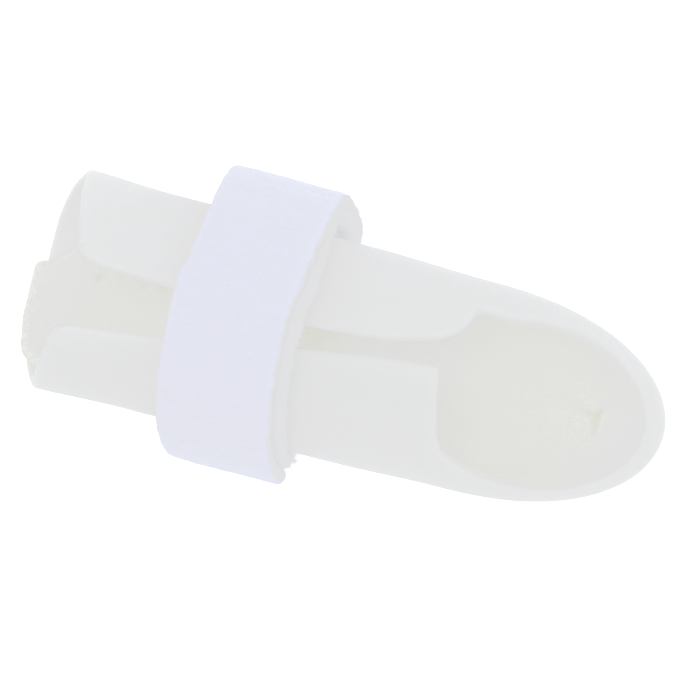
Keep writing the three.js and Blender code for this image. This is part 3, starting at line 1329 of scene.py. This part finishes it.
@dataclass(frozen=True)
class Groove:
    """One branch of the fold in the foam, or one small pit, as seen from above.

    Attributes:
        start: Its deeper end, along and across the shell.
        stop: Its other end.
        half_width: The width of its bell-shaped section at the start.
        depth: Its depth at the start.
    """

    start: tuple[float, float]
    stop: tuple[float, float]
    half_width: float
    depth: float

    def cut(self, x: Array, y: Array) -> Array:
        """The groove's depth: a bell curve across it, which fades to a quarter towards its far end.

        Args:
            x: Places along the shell.
            y: Places across it.

        Returns:
            One depth in millimetres for each place.
        """
        start = np.array(self.start)
        way = np.array(self.stop) - start
        along = ((x - start[0]) * way[0] + (y - start[1]) * way[1]) / (way @ way)
        along = np.clip(along, 0.0, 1.0)
        gap = np.hypot(x - start[0] - way[0] * along, y - start[1] - way[1] * along)
        fade = 1.0 - 0.75 * along
        return self.depth * fade * np.exp(-0.5 * (gap / (self.half_width * (0.6 + 0.4 * fade))) ** 2)


FOLD = (
    Groove((54.4, 0.1), (55.0, 1.1), 0.2, 1.3),
    Groove((54.5, 0.2), (54.7, -1.6), 0.22, 1.3),
    Groove((54.4, 0.2), (52.4, 0.6), 0.2, 0.8),
    Groove((52.6, 0.6), (49.6, 1.9), 0.24, 0.2),
)
PITS = (
    Groove((3.3, 0.95), (3.4, 0.95), 0.36, 0.8),
    Groove((5.4, 1.3), (5.5, 1.3), 0.22, 0.3),
    Groove((7.6, 1.2), (7.9, 1.25), 0.26, 0.36),
    Groove((9.7, 1.5), (10.2, 1.6), 0.28, 0.36),
)


@dataclass
class FoamLining:
    """The cream foam inside the shell, with its open end, its fine cells and the fold at the tip.

    Attributes:
        form: The shell's outer form.
        opening: The shell's open end and window.
        lie: How the shell lies.
        seat: The depth of the foam's outer face, a little clear of the shell's inner face.
        thickness: The foam's thickness.
        protrusion: How far its lower wall stands out of the open end.
        recess: How far it stays short of the end on the other half and up the sides.
        step_at: Where across the shell it steps back.
        step_width: Half the width of that step.
        ragged: How ragged the open end is.
        ragged_size: The size of its rags.
        rim_band: How far down from skive_top the foam pales under the rim.
        skive_top: The height at which it is palest there.
        skive: How much the foam thins at its edge round the window.
        fold_shade_full: The depth at which the painted shade in the fold and the pits is full.
        cell: The size of the foam's cells.
        cell_depth: How deep they are.
        swell: How far the inner face slowly rises and falls.
        swell_size: The size of these swells.
        covered: Where along the axis the strap and the flanges cover the foam, and where painted light
            lightens it.
        blotch: How far the borders of the pale places stray.
        blotch_size: The size of their bays.
        grooves: The fold's branches and the pits.
        noise: The noise for all of these.
        left_plan: The long edge on the side of +y, hidden under its flange.
        right_plan: The long edge on the other side.
    """

    form: SplintForm
    opening: Opening
    lie: Lie
    seat: float = 1.06
    thickness: float = 1.6
    protrusion: float = 1.1
    recess: float = 0.3
    step_at: float = 1.3
    step_width: float = 0.5
    ragged: float = 0.1
    ragged_size: float = 2.2
    rim_band: float = 1.6
    skive_top: float = 1.6
    skive: float = 1.3
    fold_shade_full: float = 0.55
    cell: float = 0.5
    cell_depth: float = 0.035
    swell: float = 0.16
    swell_size: float = 4.5
    covered: Stretch = Stretch((13.0, 20.0), (37.0, 44.0))
    blotch: float = 1.2
    blotch_size: float = 3.0
    grooves: tuple[Groove, ...] = FOLD + PITS
    noise: LatticeNoise = field(default_factory=lambda: LatticeNoise(7))
    left_plan: EdgePlan = EdgePlan(
        xs=(6.5, 12.0, 24.0, 36.0, 40.2, 41.5),
        ys=(7.0, 6.8, 6.8, 6.6, 6.9, 7.3),
        rim_start_deg=74.0,
        drop=1.1,
        step=0.15,
        corner_reach=0.5,
        samples=400,
    )
    right_plan: EdgePlan = EdgePlan(
        xs=(1.6, 12.2, 25.9, 35.3, 39.0, 39.4, 40.6),
        ys=(-5.8, -4.2, -1.7, -0.3, -0.1, -2.4, -6.6),
        rim_start_deg=74.0,
        drop=1.1,
        step=0.15,
        corner_reach=0.5,
        samples=400,
    )

    def end_at(self, points: Array) -> Array:
        """Where the foam ends at the open end: past the shell on one half and short of it on the other.

        Args:
            points: Points of the foam's middle.

        Returns:
            One place along the axis for each point.
        """
        shell_end = self.opening.end_at(points[..., 2], self.form)
        low, high = self.step_at - self.step_width, self.step_at + self.step_width
        past_step = smooth_step(low, high, points[..., 1])
        up_side = smooth_step(-4.6, -2.2, points[..., 2])
        short = np.maximum(past_step, up_side)
        slant = np.clip(points[..., 1] - self.step_at, 0.0, 6.0)
        ragged = self.ragged * self.noise.at(points, self.ragged_size)
        return shell_end - self.protrusion + (self.protrusion + self.recess) * short + slant + ragged

    def fold_depth(self, points: Array) -> Array:
        """How deep the fold near the tip and the small pits cut into the foam: the deepest groove counts.

        Args:
            points: Points of the foam's inner face.

        Returns:
            Depths in millimetres.
        """
        cuts = [groove.cut(points[..., 0], points[..., 1]) for groove in self.grooves]
        return np.where(points[..., 2] < 0, np.max(cuts, axis=0), 0.0)

    def build(self) -> bpy.types.Object:
        """The foam's closed mesh, with its inner face given cells, a slow swell and the fold.

        Returns:
            The foam's object.
        """
        inset = self.seat + self.thickness / 2
        wall = WallSheet(
            form=self.form,
            inset=inset,
            thickness=self.thickness,
            left=self.left_plan.run(self.form, self.opening, Side.LEFT, inset),
            right=self.right_plan.run(self.form, self.opening, Side.RIGHT, inset),
            end=self.end_at,
            rows=300,
            columns=76,
            skive=self.skive,
        )
        surface, normals, half = wall.faces_of()
        inner = surface - normals * half[..., None]
        cells = self.cell_depth * self.noise.at(inner, self.cell)
        swell = self.swell * self.noise.at(inner + 50.0, self.swell_size)
        fold = self.fold_depth(inner)
        sunk = (fold + swell) * (half / half.max()) ** 2 + cells * (half / half.max())
        inner = inner + normals * sunk[..., None]
        outer = surface + normals * half[..., None]
        masks = {
            # painted light where the foam is covered
            Mask.CLEAN: self.clean(surface),
            Mask.PALENESS: self.paleness(surface),
            # painted shade in the fold and the pits, by the depth of their grooves
            Mask.FOLD: np.clip(fold / self.fold_shade_full, 0.0, 1.0),
        }
        return two_sided("foam_pad", self.lie.lay(outer), self.lie.lay(inner), masks)

    def clean(self, surface: Array) -> Array:
        """How far painted light lightens the foam where it is covered, in place of light through the milky
        shell.
        """
        return self.covered.at(surface[..., 0])

    def paleness(self, surface: Array) -> Array:
        """How far the foam pales towards the plastic: where it thins out in the tip and at its open end.

        Args:
            surface: Points of the foam's middle.

        Returns:
            One share for each point.
        """
        x, y, z = surface[..., 0], surface[..., 1], surface[..., 2]
        blotch = self.blotch * self.noise.at(surface + 20.0, self.blotch_size)
        tip = smooth_step(53.8, 58.6, x + 0.35 * np.maximum(np.abs(y) - 3.0, 0.0) + blotch)
        open_end = 1.0 - smooth_step(-1.6, 3.6, x + blotch)
        rim = 0.5 * smooth_step(self.skive_top - self.rim_band, self.skive_top, z)
        rim = rim * smooth_step(50.0, 55.0, x)
        return np.maximum(np.maximum(tip, rim), 0.75 * open_end)


# The strap


@dataclass
class Strap:
    """The white hook-and-loop tape, wound in two loose turns, with its frayed fibres.

    Attributes:
        tape: The tape's size and winding.
        lie: How the shell lies.
        form: The shell's outer form.
        edge_radius: The radius of the tape's long edges.
        end_radius: The radius of the corners at its ends.
        press: How far each face stands out past the solid's, so that the two turns nearly touch.
        fray: How ragged the long edges are.
        lag: How far the underside lies back towards the open end.
        under: Where the underside is.
        inner_rest: How far the inner turn lies past the outer one, towards the tip, all round.
        inner_shift: How much further it lies past it over the top.
        bared: Where that is.
        far_pull: How far the side of +y is pulled back.
        far_deg: How far below that side the pull's middle lies.
        shoulder_pull: How far the tape is pulled back at its shoulder, just above that side.
        shoulder_deg: Where the shoulder is.
        shoulder_width_deg: The width of the shoulder's bell curve.
        kink: How far the tape is bent towards the tip before the top.
        kinked: Where that is.
        wave: How far the tape wanders along its run.
        wave_length: The length of these waves.
        along_step: The distance between rows of points.
        across_count: The points across each face.
        pile: How rough the pile is.
        ripple: How far the faces slowly rise and fall.
        fray_cell: The size of the frays, along the tape, across it and through it.
        pile_cell: The size of the pile's tufts, likewise.
        ripple_cell: The size of the ripples, likewise.
        inner_top: Where the inner turn's edge shows past the outer one and is darkened, partly frayed and
            partly painted shade from the outer turn.
        noise: The noise for all of these.
        fibre_count: The number of loose fibres.
        fibre_length: Their shortest and longest.
        fibre_lean: How far they lean at random.
        fibre_bend: How far they bend at random.
        loop_count: The number of fine loops.
        loop_spread: How far a loop's two feet lie apart.
        loop_lift: The lowest and highest of their bends.
        hair_radius: The radius of both.
    """

    tape: TapeSize
    lie: Lie
    form: SplintForm
    edge_radius: float = 0.55
    end_radius: float = 0.7
    press: float = 0.14
    fray: float = 0.16
    lag: float = 2.6
    under: Stretch = Stretch((174.0, 228.0), (270.0, 345.0))
    inner_rest: float = 0.12
    inner_shift: float = 0.85
    bared: Stretch = Stretch((15.0, 75.0), (140.0, 190.0), 0.3)
    far_pull: float = 0.85
    far_deg: float = 8.0
    shoulder_pull: float = 0.25
    shoulder_deg: float = 24.0
    shoulder_width_deg: float = 9.0
    kink: float = 0.32
    kinked: Stretch = Stretch((10.0, 30.0), (70.0, 78.0))
    wave: float = 0.1
    wave_length: float = 6.0
    along_step: float = 0.32
    across_count: int = 44
    pile: float = 0.035
    ripple: float = 0.12
    fray_cell: tuple[float, float, float] = (0.42, 8.0, 1.0)
    pile_cell: tuple[float, float, float] = (0.35, 0.9, 1.0)
    ripple_cell: tuple[float, float, float] = (2.2, 5.0, 40.0)
    inner_top: Stretch = Stretch((-10.0, 30.0), (165.0, 195.0))
    noise: LatticeNoise = field(default_factory=lambda: LatticeNoise(23))
    fibre_count: int = 1800
    fibre_length: tuple[float, float] = (0.25, 0.8)
    fibre_lean: float = 0.45
    fibre_bend: float = 0.16
    loop_count: int = 700
    loop_spread: float = 0.22
    loop_lift: tuple[float, float] = (0.05, 0.16)
    hair_radius: float = 0.02
    surface: Array = field(init=False)
    outward: Array = field(init=False)

    # The points round each half circle of the section, and the rows at both ends without fibres
    ROUND_COUNT = 7
    END_ROWS = 6

    @property
    def top(self) -> float:
        """The height of the loop's top.

        Returns:
            The height above the floor: the shell's back there, the gap and the two turns.
        """
        pitch = self.lie.pitch
        rise = self.tape.width / 2 * math.tan(pitch)
        over_axis = rise + self.form.back / math.cos(pitch) + self.tape.clearance + self.tape.layers
        return self.lie.axis_height(pitch) + over_axis

    @property
    def half_height(self) -> float:
        """Half the height of the oval that the loop follows."""
        return (self.top + self.tape.flattening) / 2

    @property
    def half_width(self) -> float:
        """Half the width of the oval.

        Returns:
            Half the shell's width there, half of both gaps and the two turns.
        """
        near = np.array(self.tape.centre - self.tape.width / 2)
        shell = self.form.half_width * float(self.form.share(near, self.form.width_shares))
        return shell + (self.tape.slack + self.tape.clearance) / 2 + self.tape.layers

    @property
    def centre(self) -> Array:
        """The oval's centre in the splint's frame.

        Returns:
            Its x, y and z.
        """
        x = self.lie.origin[0] + self.tape.centre * math.cos(self.lie.pitch)
        y = self.lie.origin[1] + (self.tape.slack - self.tape.clearance) / 2
        return np.array([x, y, self.top - self.half_height])

    def depth(self, degrees: Array) -> Array:
        """How deep the outer face lies inside the oval: a turn's height, less as the tape steps out."""
        stepped = smooth_step(self.tape.step_start_deg, self.tape.step_end_deg, degrees)
        return (self.tape.thickness + self.tape.turn_gap) * (1.0 - stepped)

    def course(self, degrees: Array) -> Array:
        """Points of the tape's middle as y and z: an oval whose underside is flattened onto the floor.

        The height is the larger of the oval's and the outer face's depth, with a soft bend between them.

        Args:
            degrees: Places round the loop.

        Returns:
            One row of y and z for each place.
        """
        inset = self.depth(degrees) + self.tape.thickness / 2
        angle = np.radians(degrees)
        across = self.centre[1] + (self.half_width - inset) * np.cos(angle)
        up = self.centre[2] + (self.half_height - inset) * np.sin(angle)
        lifted = (up + inset + np.sqrt((up - inset) ** 2 + 0.02)) / 2
        return np.stack([across, lifted], axis=1)

    def even_degrees(self) -> Array:
        """Places round the loop that lie evenly along the tape.

        Returns:
            Rising degrees, from the inner end to the outer one.
        """
        dense = np.linspace(self.tape.start_deg, self.tape.end_deg, 4000)
        run = run_lengths(self.course(dense))
        count = int(run[-1] / self.along_step)
        return np.interp(np.linspace(0.0, run[-1], count), run, dense)

    def outline(self) -> tuple[Array, Array, Array]:
        """The tape's section: a rectangle with half circles at its two sides, drawn as one closed round.

        Returns:
            Three shares for each point: of the flat part's half width, of the half circle's reach across
            and of half the thickness.
        """
        flat = np.linspace(-1.0, 1.0, self.across_count)
        turn = np.radians(np.linspace(90.0, -90.0, self.ROUND_COUNT + 2)[1:-1])
        ones = np.ones(self.ROUND_COUNT)
        wide = np.concatenate([flat, ones, flat[::-1], -ones])
        round_x = np.concatenate([0 * flat, np.cos(turn), 0 * flat, -np.cos(turn)])
        round_z = np.concatenate([1 + 0 * flat, np.sin(turn), -1 + 0 * flat, -np.sin(turn)])
        return wide, round_x, round_z

    def corner_cut(self, from_end: Array) -> Array:
        """How much narrower half the tape is near its ends, whose corners are quarter circles.

        Args:
            from_end: Distances from the nearer end.

        Returns:
            One width for each distance.
        """
        short = np.maximum(self.end_radius - from_end, 0.0)
        return self.end_radius - np.sqrt(np.maximum(self.end_radius**2 - short**2, 0.0))

    def shift(self, degrees: Array, across: Array, run: Array) -> Array:
        """How far the tape's middle lies towards the tip: its pulls, its turns' offset and a wave.

        Args:
            degrees: Places round the loop, counted on through both turns.
            across: The y of the tape's middle there.
            run: The distance along the tape there.

        Returns:
            One shift for each place.
        """
        turned = np.mod(degrees, 360.0)
        far_side = np.cos(np.radians(degrees + self.far_deg)) ** 12 * (np.cos(np.radians(degrees)) > 0)
        shoulder = np.exp(-0.5 * ((turned - self.shoulder_deg) / self.shoulder_width_deg) ** 2)
        pulled = self.skew(across) - self.lag * self.under.at(turned)
        pulled = pulled - self.far_pull * far_side - self.shoulder_pull * shoulder
        first = 1.0 - smooth_step(self.tape.step_start_deg, self.tape.step_end_deg, degrees)
        inner = (self.inner_rest + self.inner_shift * self.bared.at(turned)) * first
        wave = self.wave * self.noise.at(np.stack([run, 0 * run, 0 * run], axis=1), self.wave_length)
        return pulled + inner + wave + self.kink * self.kinked.at(turned)

    def worn_radius(self, run: Array, wide: Array) -> Array:
        """How far the long edges stand out past the flat part: their radius plus noise along the tape.

        Args:
            run: Distances along the tape.
            wide: The section's shares of the flat part's half width.

        Returns:
            Rows by points of the section.
        """
        along, across = np.broadcast_arrays(run[:, None], 9.0 * wide[None])
        places = np.stack([along, across, np.zeros(along.shape)], axis=-1)
        return self.edge_radius + self.fray * self.noise.at(places, self.fray_cell)

    def wear_and_shade(self, degrees: Array, wide: Array, round_x: Array) -> Array:
        """How far the tape is darkened, partly frayed and partly painted shade: most at its frayed edge on
        the tip's side and on the strip of the inner turn that shows.

        Args:
            degrees: Places round the loop, counted on through both turns.
            wide: The section's shares of the flat part's half width.
            round_x: Its shares of the half circle's reach.

        Returns:
            Rows by points of the section.
        """
        strip = self.inner_top.at(degrees)[:, None] * smooth_step(0.6, 0.8, wide)[None]
        return np.maximum(0.7 * smooth_step(0.75, 1.0, round_x)[None], strip)

    def build_tape(self) -> bpy.types.Object:
        """The tape's closed mesh, with a pattern map of its length and width in metres.

        The section is carried along the loop, closes to nothing at both ends over half its thickness and
        stands out by the pile and the ripple.

        Returns:
            The tape's object.
        """
        degrees = self.even_degrees()
        path = self.course(degrees)
        run = run_lengths(path)
        way = unit(np.gradient(path, axis=0))
        self.outward = np.stack([way[:, 1], -way[:, 0]], axis=1)
        wide, round_x, round_z = self.outline()
        from_end = np.minimum(run, run[-1] - run)
        half_thick = self.tape.thickness / 2 + self.press
        closing = np.sqrt(1.0 - (1.0 - np.clip(from_end / half_thick, 0.0, 1.0)) ** 2)[:, None]
        half_flat = self.tape.width / 2 - self.edge_radius - self.corner_cut(from_end)
        x = self.centre[0] + self.shift(degrees, path[:, 0], run)[:, None] + wide[None] * half_flat[:, None]
        x = x + round_x[None] * self.worn_radius(run, wide)
        thick = round_z[None] * half_thick * closing
        pattern = np.stack([np.broadcast_to(run[:, None], x.shape), x, thick * 8], axis=-1)
        pile = self.pile * self.noise.at(pattern, self.pile_cell)
        ripple = self.ripple * self.noise.at(pattern, self.ripple_cell) * closing
        raised = thick * (1.0 + pile / half_thick) + ripple * smooth_step(2.0, 6.0, path[:, 1:])
        y = path[:, :1] + raised * self.outward[:, :1]
        z = np.maximum(path[:, 1:] + raised * self.outward[:, 1:], 0.02)
        self.surface = np.stack([x, y, z], axis=-1)
        faces = grid_faces(*x.shape, wrap=True)
        uvs = pattern[..., 1::-1].reshape(-1, 2)[faces] * MM
        # fraying and painted shade on the tape's edge and the inner turn's strip
        worn = {Mask.WORN: self.wear_and_shade(degrees, wide, round_x).ravel()}
        piece = mesh_object("strap_tape", self.surface.reshape(-1, 3), [faces], uvs.reshape(-1, 2), worn)
        close_seams(piece, 2e-6)
        return piece

    def skew(self, across: Array) -> Array:
        """How far the tape is pulled towards the tip where it turns over the side of its free end."""
        share = np.maximum((self.centre[1] - across) / self.half_width, 0.0)
        return 0.3 * self.tape.skew * share**4

    def edge_fibres(self, draw: np.random.Generator) -> tuple[Array, Array, Array]:
        """Loose fibres that stand out from the tape's long edges, more of them on the side of the tip.

        Args:
            draw: The source of random numbers.

        Returns:
            Their starts, bends and tips.
        """
        rows = self.surface.shape[0]
        near = self.across_count + np.array([1, 3, 5])
        far = near + self.across_count + self.ROUND_COUNT
        row = draw.integers(self.END_ROWS, rows - self.END_ROWS, self.fibre_count)
        column = draw.choice(np.concatenate([near, near, far]), self.fibre_count)
        start = self.surface[row, column]
        outward = np.zeros_like(start)
        outward[:, 0] = np.where(column < self.across_count + self.ROUND_COUNT, 1.0, -1.0)
        lean = draw.normal(0.0, self.fibre_lean, start.shape)
        length = draw.uniform(*self.fibre_length, (self.fibre_count, 1))
        tip = start + unit(outward + lean) * length
        return start, (start + tip) / 2 + draw.normal(0.0, self.fibre_bend, start.shape), tip

    def face_loops(self, draw: np.random.Generator) -> tuple[Array, Array, Array]:
        """Fine loops that stand a little off the outer turn's outer face.

        Args:
            draw: The source of random numbers.

        Returns:
            Their first feet, bends and second feet.
        """
        rows = self.surface.shape[0]
        row = draw.integers(rows // 2, rows - self.END_ROWS, self.loop_count)
        column = draw.integers(2, self.across_count - 2, self.loop_count)
        foot = self.surface[row, column]
        lift = np.zeros_like(foot)
        lift[:, 1:] = self.outward[row]
        stray = draw.normal(0.0, self.loop_spread, foot.shape)
        stray[:, 1:] *= 0.3
        bend = foot + lift * draw.uniform(*self.loop_lift, (self.loop_count, 1)) + stray / 2
        return foot, bend, foot + stray

    def build_fibres(self) -> bpy.types.Object:
        """The loose fibres and the fine loops, kept above the floor.

        Returns:
            All of them as one mesh.
        """
        draw = np.random.default_rng(41)
        kinds = [self.edge_fibres(draw), self.face_loops(draw)]
        starts, bends, tips = (np.concatenate(part) for part in zip(*kinds))
        tips[:, 2] = np.maximum(tips[:, 2], 0.05)
        bends[:, 2] = np.maximum(bends[:, 2], 0.05)
        return hair_mesh("strap_fibres", starts, bends, tips, self.hair_radius)


def hair_mesh(name: str, starts: Array, bends: Array, tips: Array, radius: float) -> bpy.types.Object:
    """Many thin three-sided tubes as one mesh.

    Each follows a curve: (1 - t) squared times its start, plus 2 t (1 - t) times its bend, plus t squared
    times its tip.

    Args:
        name: The object's name.
        starts: One start for each hair.
        bends: One middle handle for each hair.
        tips: One tip for each hair.
        radius: The hairs' radius at the start, of which two fifths are left at the tip.

    Returns:
        The object.
    """
    t = np.linspace(0.0, 1.0, 5)[None, :, None]
    path = (1 - t) ** 2 * starts[:, None] + 2 * t * (1 - t) * bends[:, None] + t**2 * tips[:, None]
    way = unit(np.gradient(path, axis=1))
    helper = np.where(np.abs(way[..., :1]) > 0.8, np.array([0.0, 1.0, 0.0]), np.array([1.0, 0.0, 0.0]))
    first = unit(np.cross(way, helper))
    second = np.cross(way, first)
    angle = np.radians([0.0, 120.0, 240.0])
    thin = radius * (1.0 - 0.6 * t)
    ring = first[:, :, None] * np.cos(angle)[:, None] + second[:, :, None] * np.sin(angle)[:, None]
    points = path[:, :, None] + ring * thin[..., None]
    count, stations = path.shape[:2]
    offsets = np.arange(count)[:, None, None] * stations * 3
    last = 3 * stations - 1
    sides = (grid_faces(stations, 3, wrap=True)[None] + offsets).reshape(-1, 4)
    caps = (np.array([[0, 1, 2], [last, last - 1, last - 2]])[None] + offsets).reshape(-1, 3)
    return mesh_object(name, points.reshape(-1, 3), [sides, caps])


# The stage


@dataclass
class Studio:
    """The pale floor, the soft light and the camera over the splint.

    Attributes:
        tilt_deg: How far the camera leans from straight overhead towards the fingertip end.
        roll_deg: How far the splint's axis runs down to the right in the picture.
        pixels_per_mm: The picture's scale at the splint.
        frame_px: The picture's side.
        origin_px: Where the splint's origin falls in the picture.
        lens: The camera's focal length in millimetres.
        sensor: Its sensor's width in millimetres.
        aim_height: How far towards the camera from the floor its aim lies, in metres.
        nearest: The nearest distance that it sees, in metres.
        farthest: The farthest.
        floor_reach: Half the floor's side in millimetres.
        floor_glow: How strongly the floor shines by itself.
        surround: The strength of the even light from all round.
        key_place: The key lamp's place in metres.
        key_size: Its side in metres.
        key_power: Its power in watts.
        tone_curve: Pairs of the scene's brightness and the shown one, both linear.
    """

    tilt_deg: float = 14.0
    roll_deg: float = 14.7
    pixels_per_mm: float = 10.1
    frame_px: float = 700.0
    origin_px: tuple[float, float] = (369.7, 354.0)
    lens: float = 1000.0
    sensor: float = 36.0
    aim_height: float = 0.013
    nearest: float = 0.05
    farthest: float = 20.0
    floor_reach: float = 1500.0
    floor_glow: float = 0.4
    surround: float = 0.665
    key_place: tuple[float, float, float] = (0.03, 0.06, 0.9)
    key_size: float = 0.28
    key_power: float = 2.6
    tone_curve: tuple[tuple[float, float], ...] = (
        (0.08, 0.42),
        (0.25, 0.69),
        (0.42, 0.735),
        (0.6, 0.758),
        (0.76, 0.781),
        (0.9, 0.9),
    )

    def axes(self) -> tuple[Vector, Vector, Vector]:
        """The picture's directions, from the camera's tilt and roll.

        Returns:
            Its right, its up and the way to the camera.
        """
        tilt, roll = math.radians(self.tilt_deg), math.radians(self.roll_deg)
        distal = Vector((math.cos(tilt), 0.0, -math.sin(tilt)))
        lateral = Vector((0.0, 1.0, 0.0))
        right = distal * math.cos(roll) + lateral * math.sin(roll)
        up = lateral * math.cos(roll) - distal * math.sin(roll)
        return right, up, Vector((math.sin(tilt), 0.0, math.cos(tilt)))

    def camera(self) -> None:
        """Makes the camera, long enough that the picture hardly narrows with distance."""
        right, up, toward = self.axes()
        middle = self.frame_px / 2
        aim = right * (middle - self.origin_px[0]) + up * (self.origin_px[1] - middle)
        aim = aim / self.pixels_per_mm * MM
        aim += toward * self.aim_height
        width = self.frame_px / self.pixels_per_mm * MM
        data = bpy.data.cameras.new("camera")
        data.lens = self.lens
        data.sensor_width = self.sensor
        data.clip_start = self.nearest
        data.clip_end = self.farthest
        camera = bpy.data.objects.new("camera", data)
        turn = Matrix((right, up, toward)).transposed().to_4x4()
        spot = aim + toward * (width * self.lens / self.sensor)
        camera.matrix_world = Matrix.Translation(spot) @ turn
        bpy.context.scene.collection.objects.link(camera)
        bpy.context.scene.camera = camera

    def floor(self) -> None:
        """Makes the floor, one wide plane under the splint that shines a little by itself."""
        half = self.floor_reach
        points = np.array([[-half, -half, 0.0], [half, -half, 0.0], [half, half, 0.0], [-half, half, 0.0]])
        plane = mesh_object("floor", points, [np.array([[0, 1, 2, 3]])])
        material, _, shader = FLOOR.build()
        shader.inputs["Emission Color"].default_value = (1.0, 1.0, 1.0, 1.0)
        shader.inputs["Emission Strength"].default_value = self.floor_glow
        plane.data.materials.append(material)

    def lamp(self, name: str, place: tuple[float, float, float], size: float, power: float) -> None:
        """Makes a soft square lamp aimed at the splint.

        Args:
            name: The lamp's name.
            place: Its place in metres.
            size: Its side in metres.
            power: Its power in watts.
        """
        data = bpy.data.lights.new(name, "AREA")
        data.size = size
        data.energy = power
        lamp = bpy.data.objects.new(name, data)
        lamp.location = place
        lamp.rotation_mode = "QUATERNION"
        lamp.rotation_quaternion = (-Vector(place)).to_track_quat("-Z", "Y")
        bpy.context.scene.collection.objects.link(lamp)

    def light(self) -> None:
        """Lights the stage evenly from all round, with one soft lamp nearly overhead."""
        world = bpy.data.worlds.new("studio_air")
        world.use_nodes = True
        background = world.node_tree.nodes["Background"]
        background.inputs["Color"].default_value = (1.0, 1.0, 1.0, 1.0)
        background.inputs["Strength"].default_value = self.surround
        bpy.context.scene.world = world
        self.lamp("key", self.key_place, self.key_size, self.key_power)

    def tone(self) -> None:
        """Lifts the shadows as in an overexposed photograph: steep in the darks, then nearly flat."""
        view = bpy.context.scene.view_settings
        view.view_transform = "Standard"
        view.use_curve_mapping = True
        curve = view.curve_mapping.curves[3]
        for seen, shown in self.tone_curve:
            curve.points.new(seen, shown)
        view.curve_mapping.update()

    def build(self) -> None:
        """Sets up the camera, floor, light and tone."""
        self.camera()
        self.floor()
        self.light()
        self.tone()


def place(piece: bpy.types.Object, node: str | None, slot: str, material: bpy.types.Material) -> None:
    """Dresses a piece, lets it ride on the splint's one body and reports it.

    Args:
        piece: The piece.
        node: The CAD node that it stands for, if any.
        slot: The name of its material slot, which is not used.
        material: Its material.
    """
    piece.data.materials.clear()
    piece.data.materials.append(material)
    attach(piece, "root")
    if node is not None:
        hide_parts(node)
    LOG.info("%s: %d faces", piece.name, len(piece.data.polygons))


def main() -> None:
    """Builds the splint's pieces in order, then the stage."""
    logging.basicConfig(level=logging.INFO, format="%(name)s %(message)s")
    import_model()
    form, opening, tape = SplintForm(), Opening(), TapeSize()
    lie = Lie(form, tape)
    LOG.info("the shell lies pitched by %.2f degrees", math.degrees(lie.pitch))
    groups = Groups()

    shell = Shell(form, opening, lie).build()
    place(shell, "splint_shell", "milky_plastic", PLASTIC_GRAIN.dress(PLASTIC, groups))

    foam = FoamLining(form, opening, lie).build()
    place(foam, "foam_lining", "cream_foam", FOAM_GRAIN.dress(FOAM, groups))

    strap = Strap(tape, lie, form)
    tape_material = TAPE_GRAIN.dress(TAPE, groups)
    place(strap.build_tape(), "strap", "white_tape", tape_material)
    place(strap.build_fibres(), None, "white_tape", tape_material)

    Studio().build()


if __name__ == "__main__":
    main()
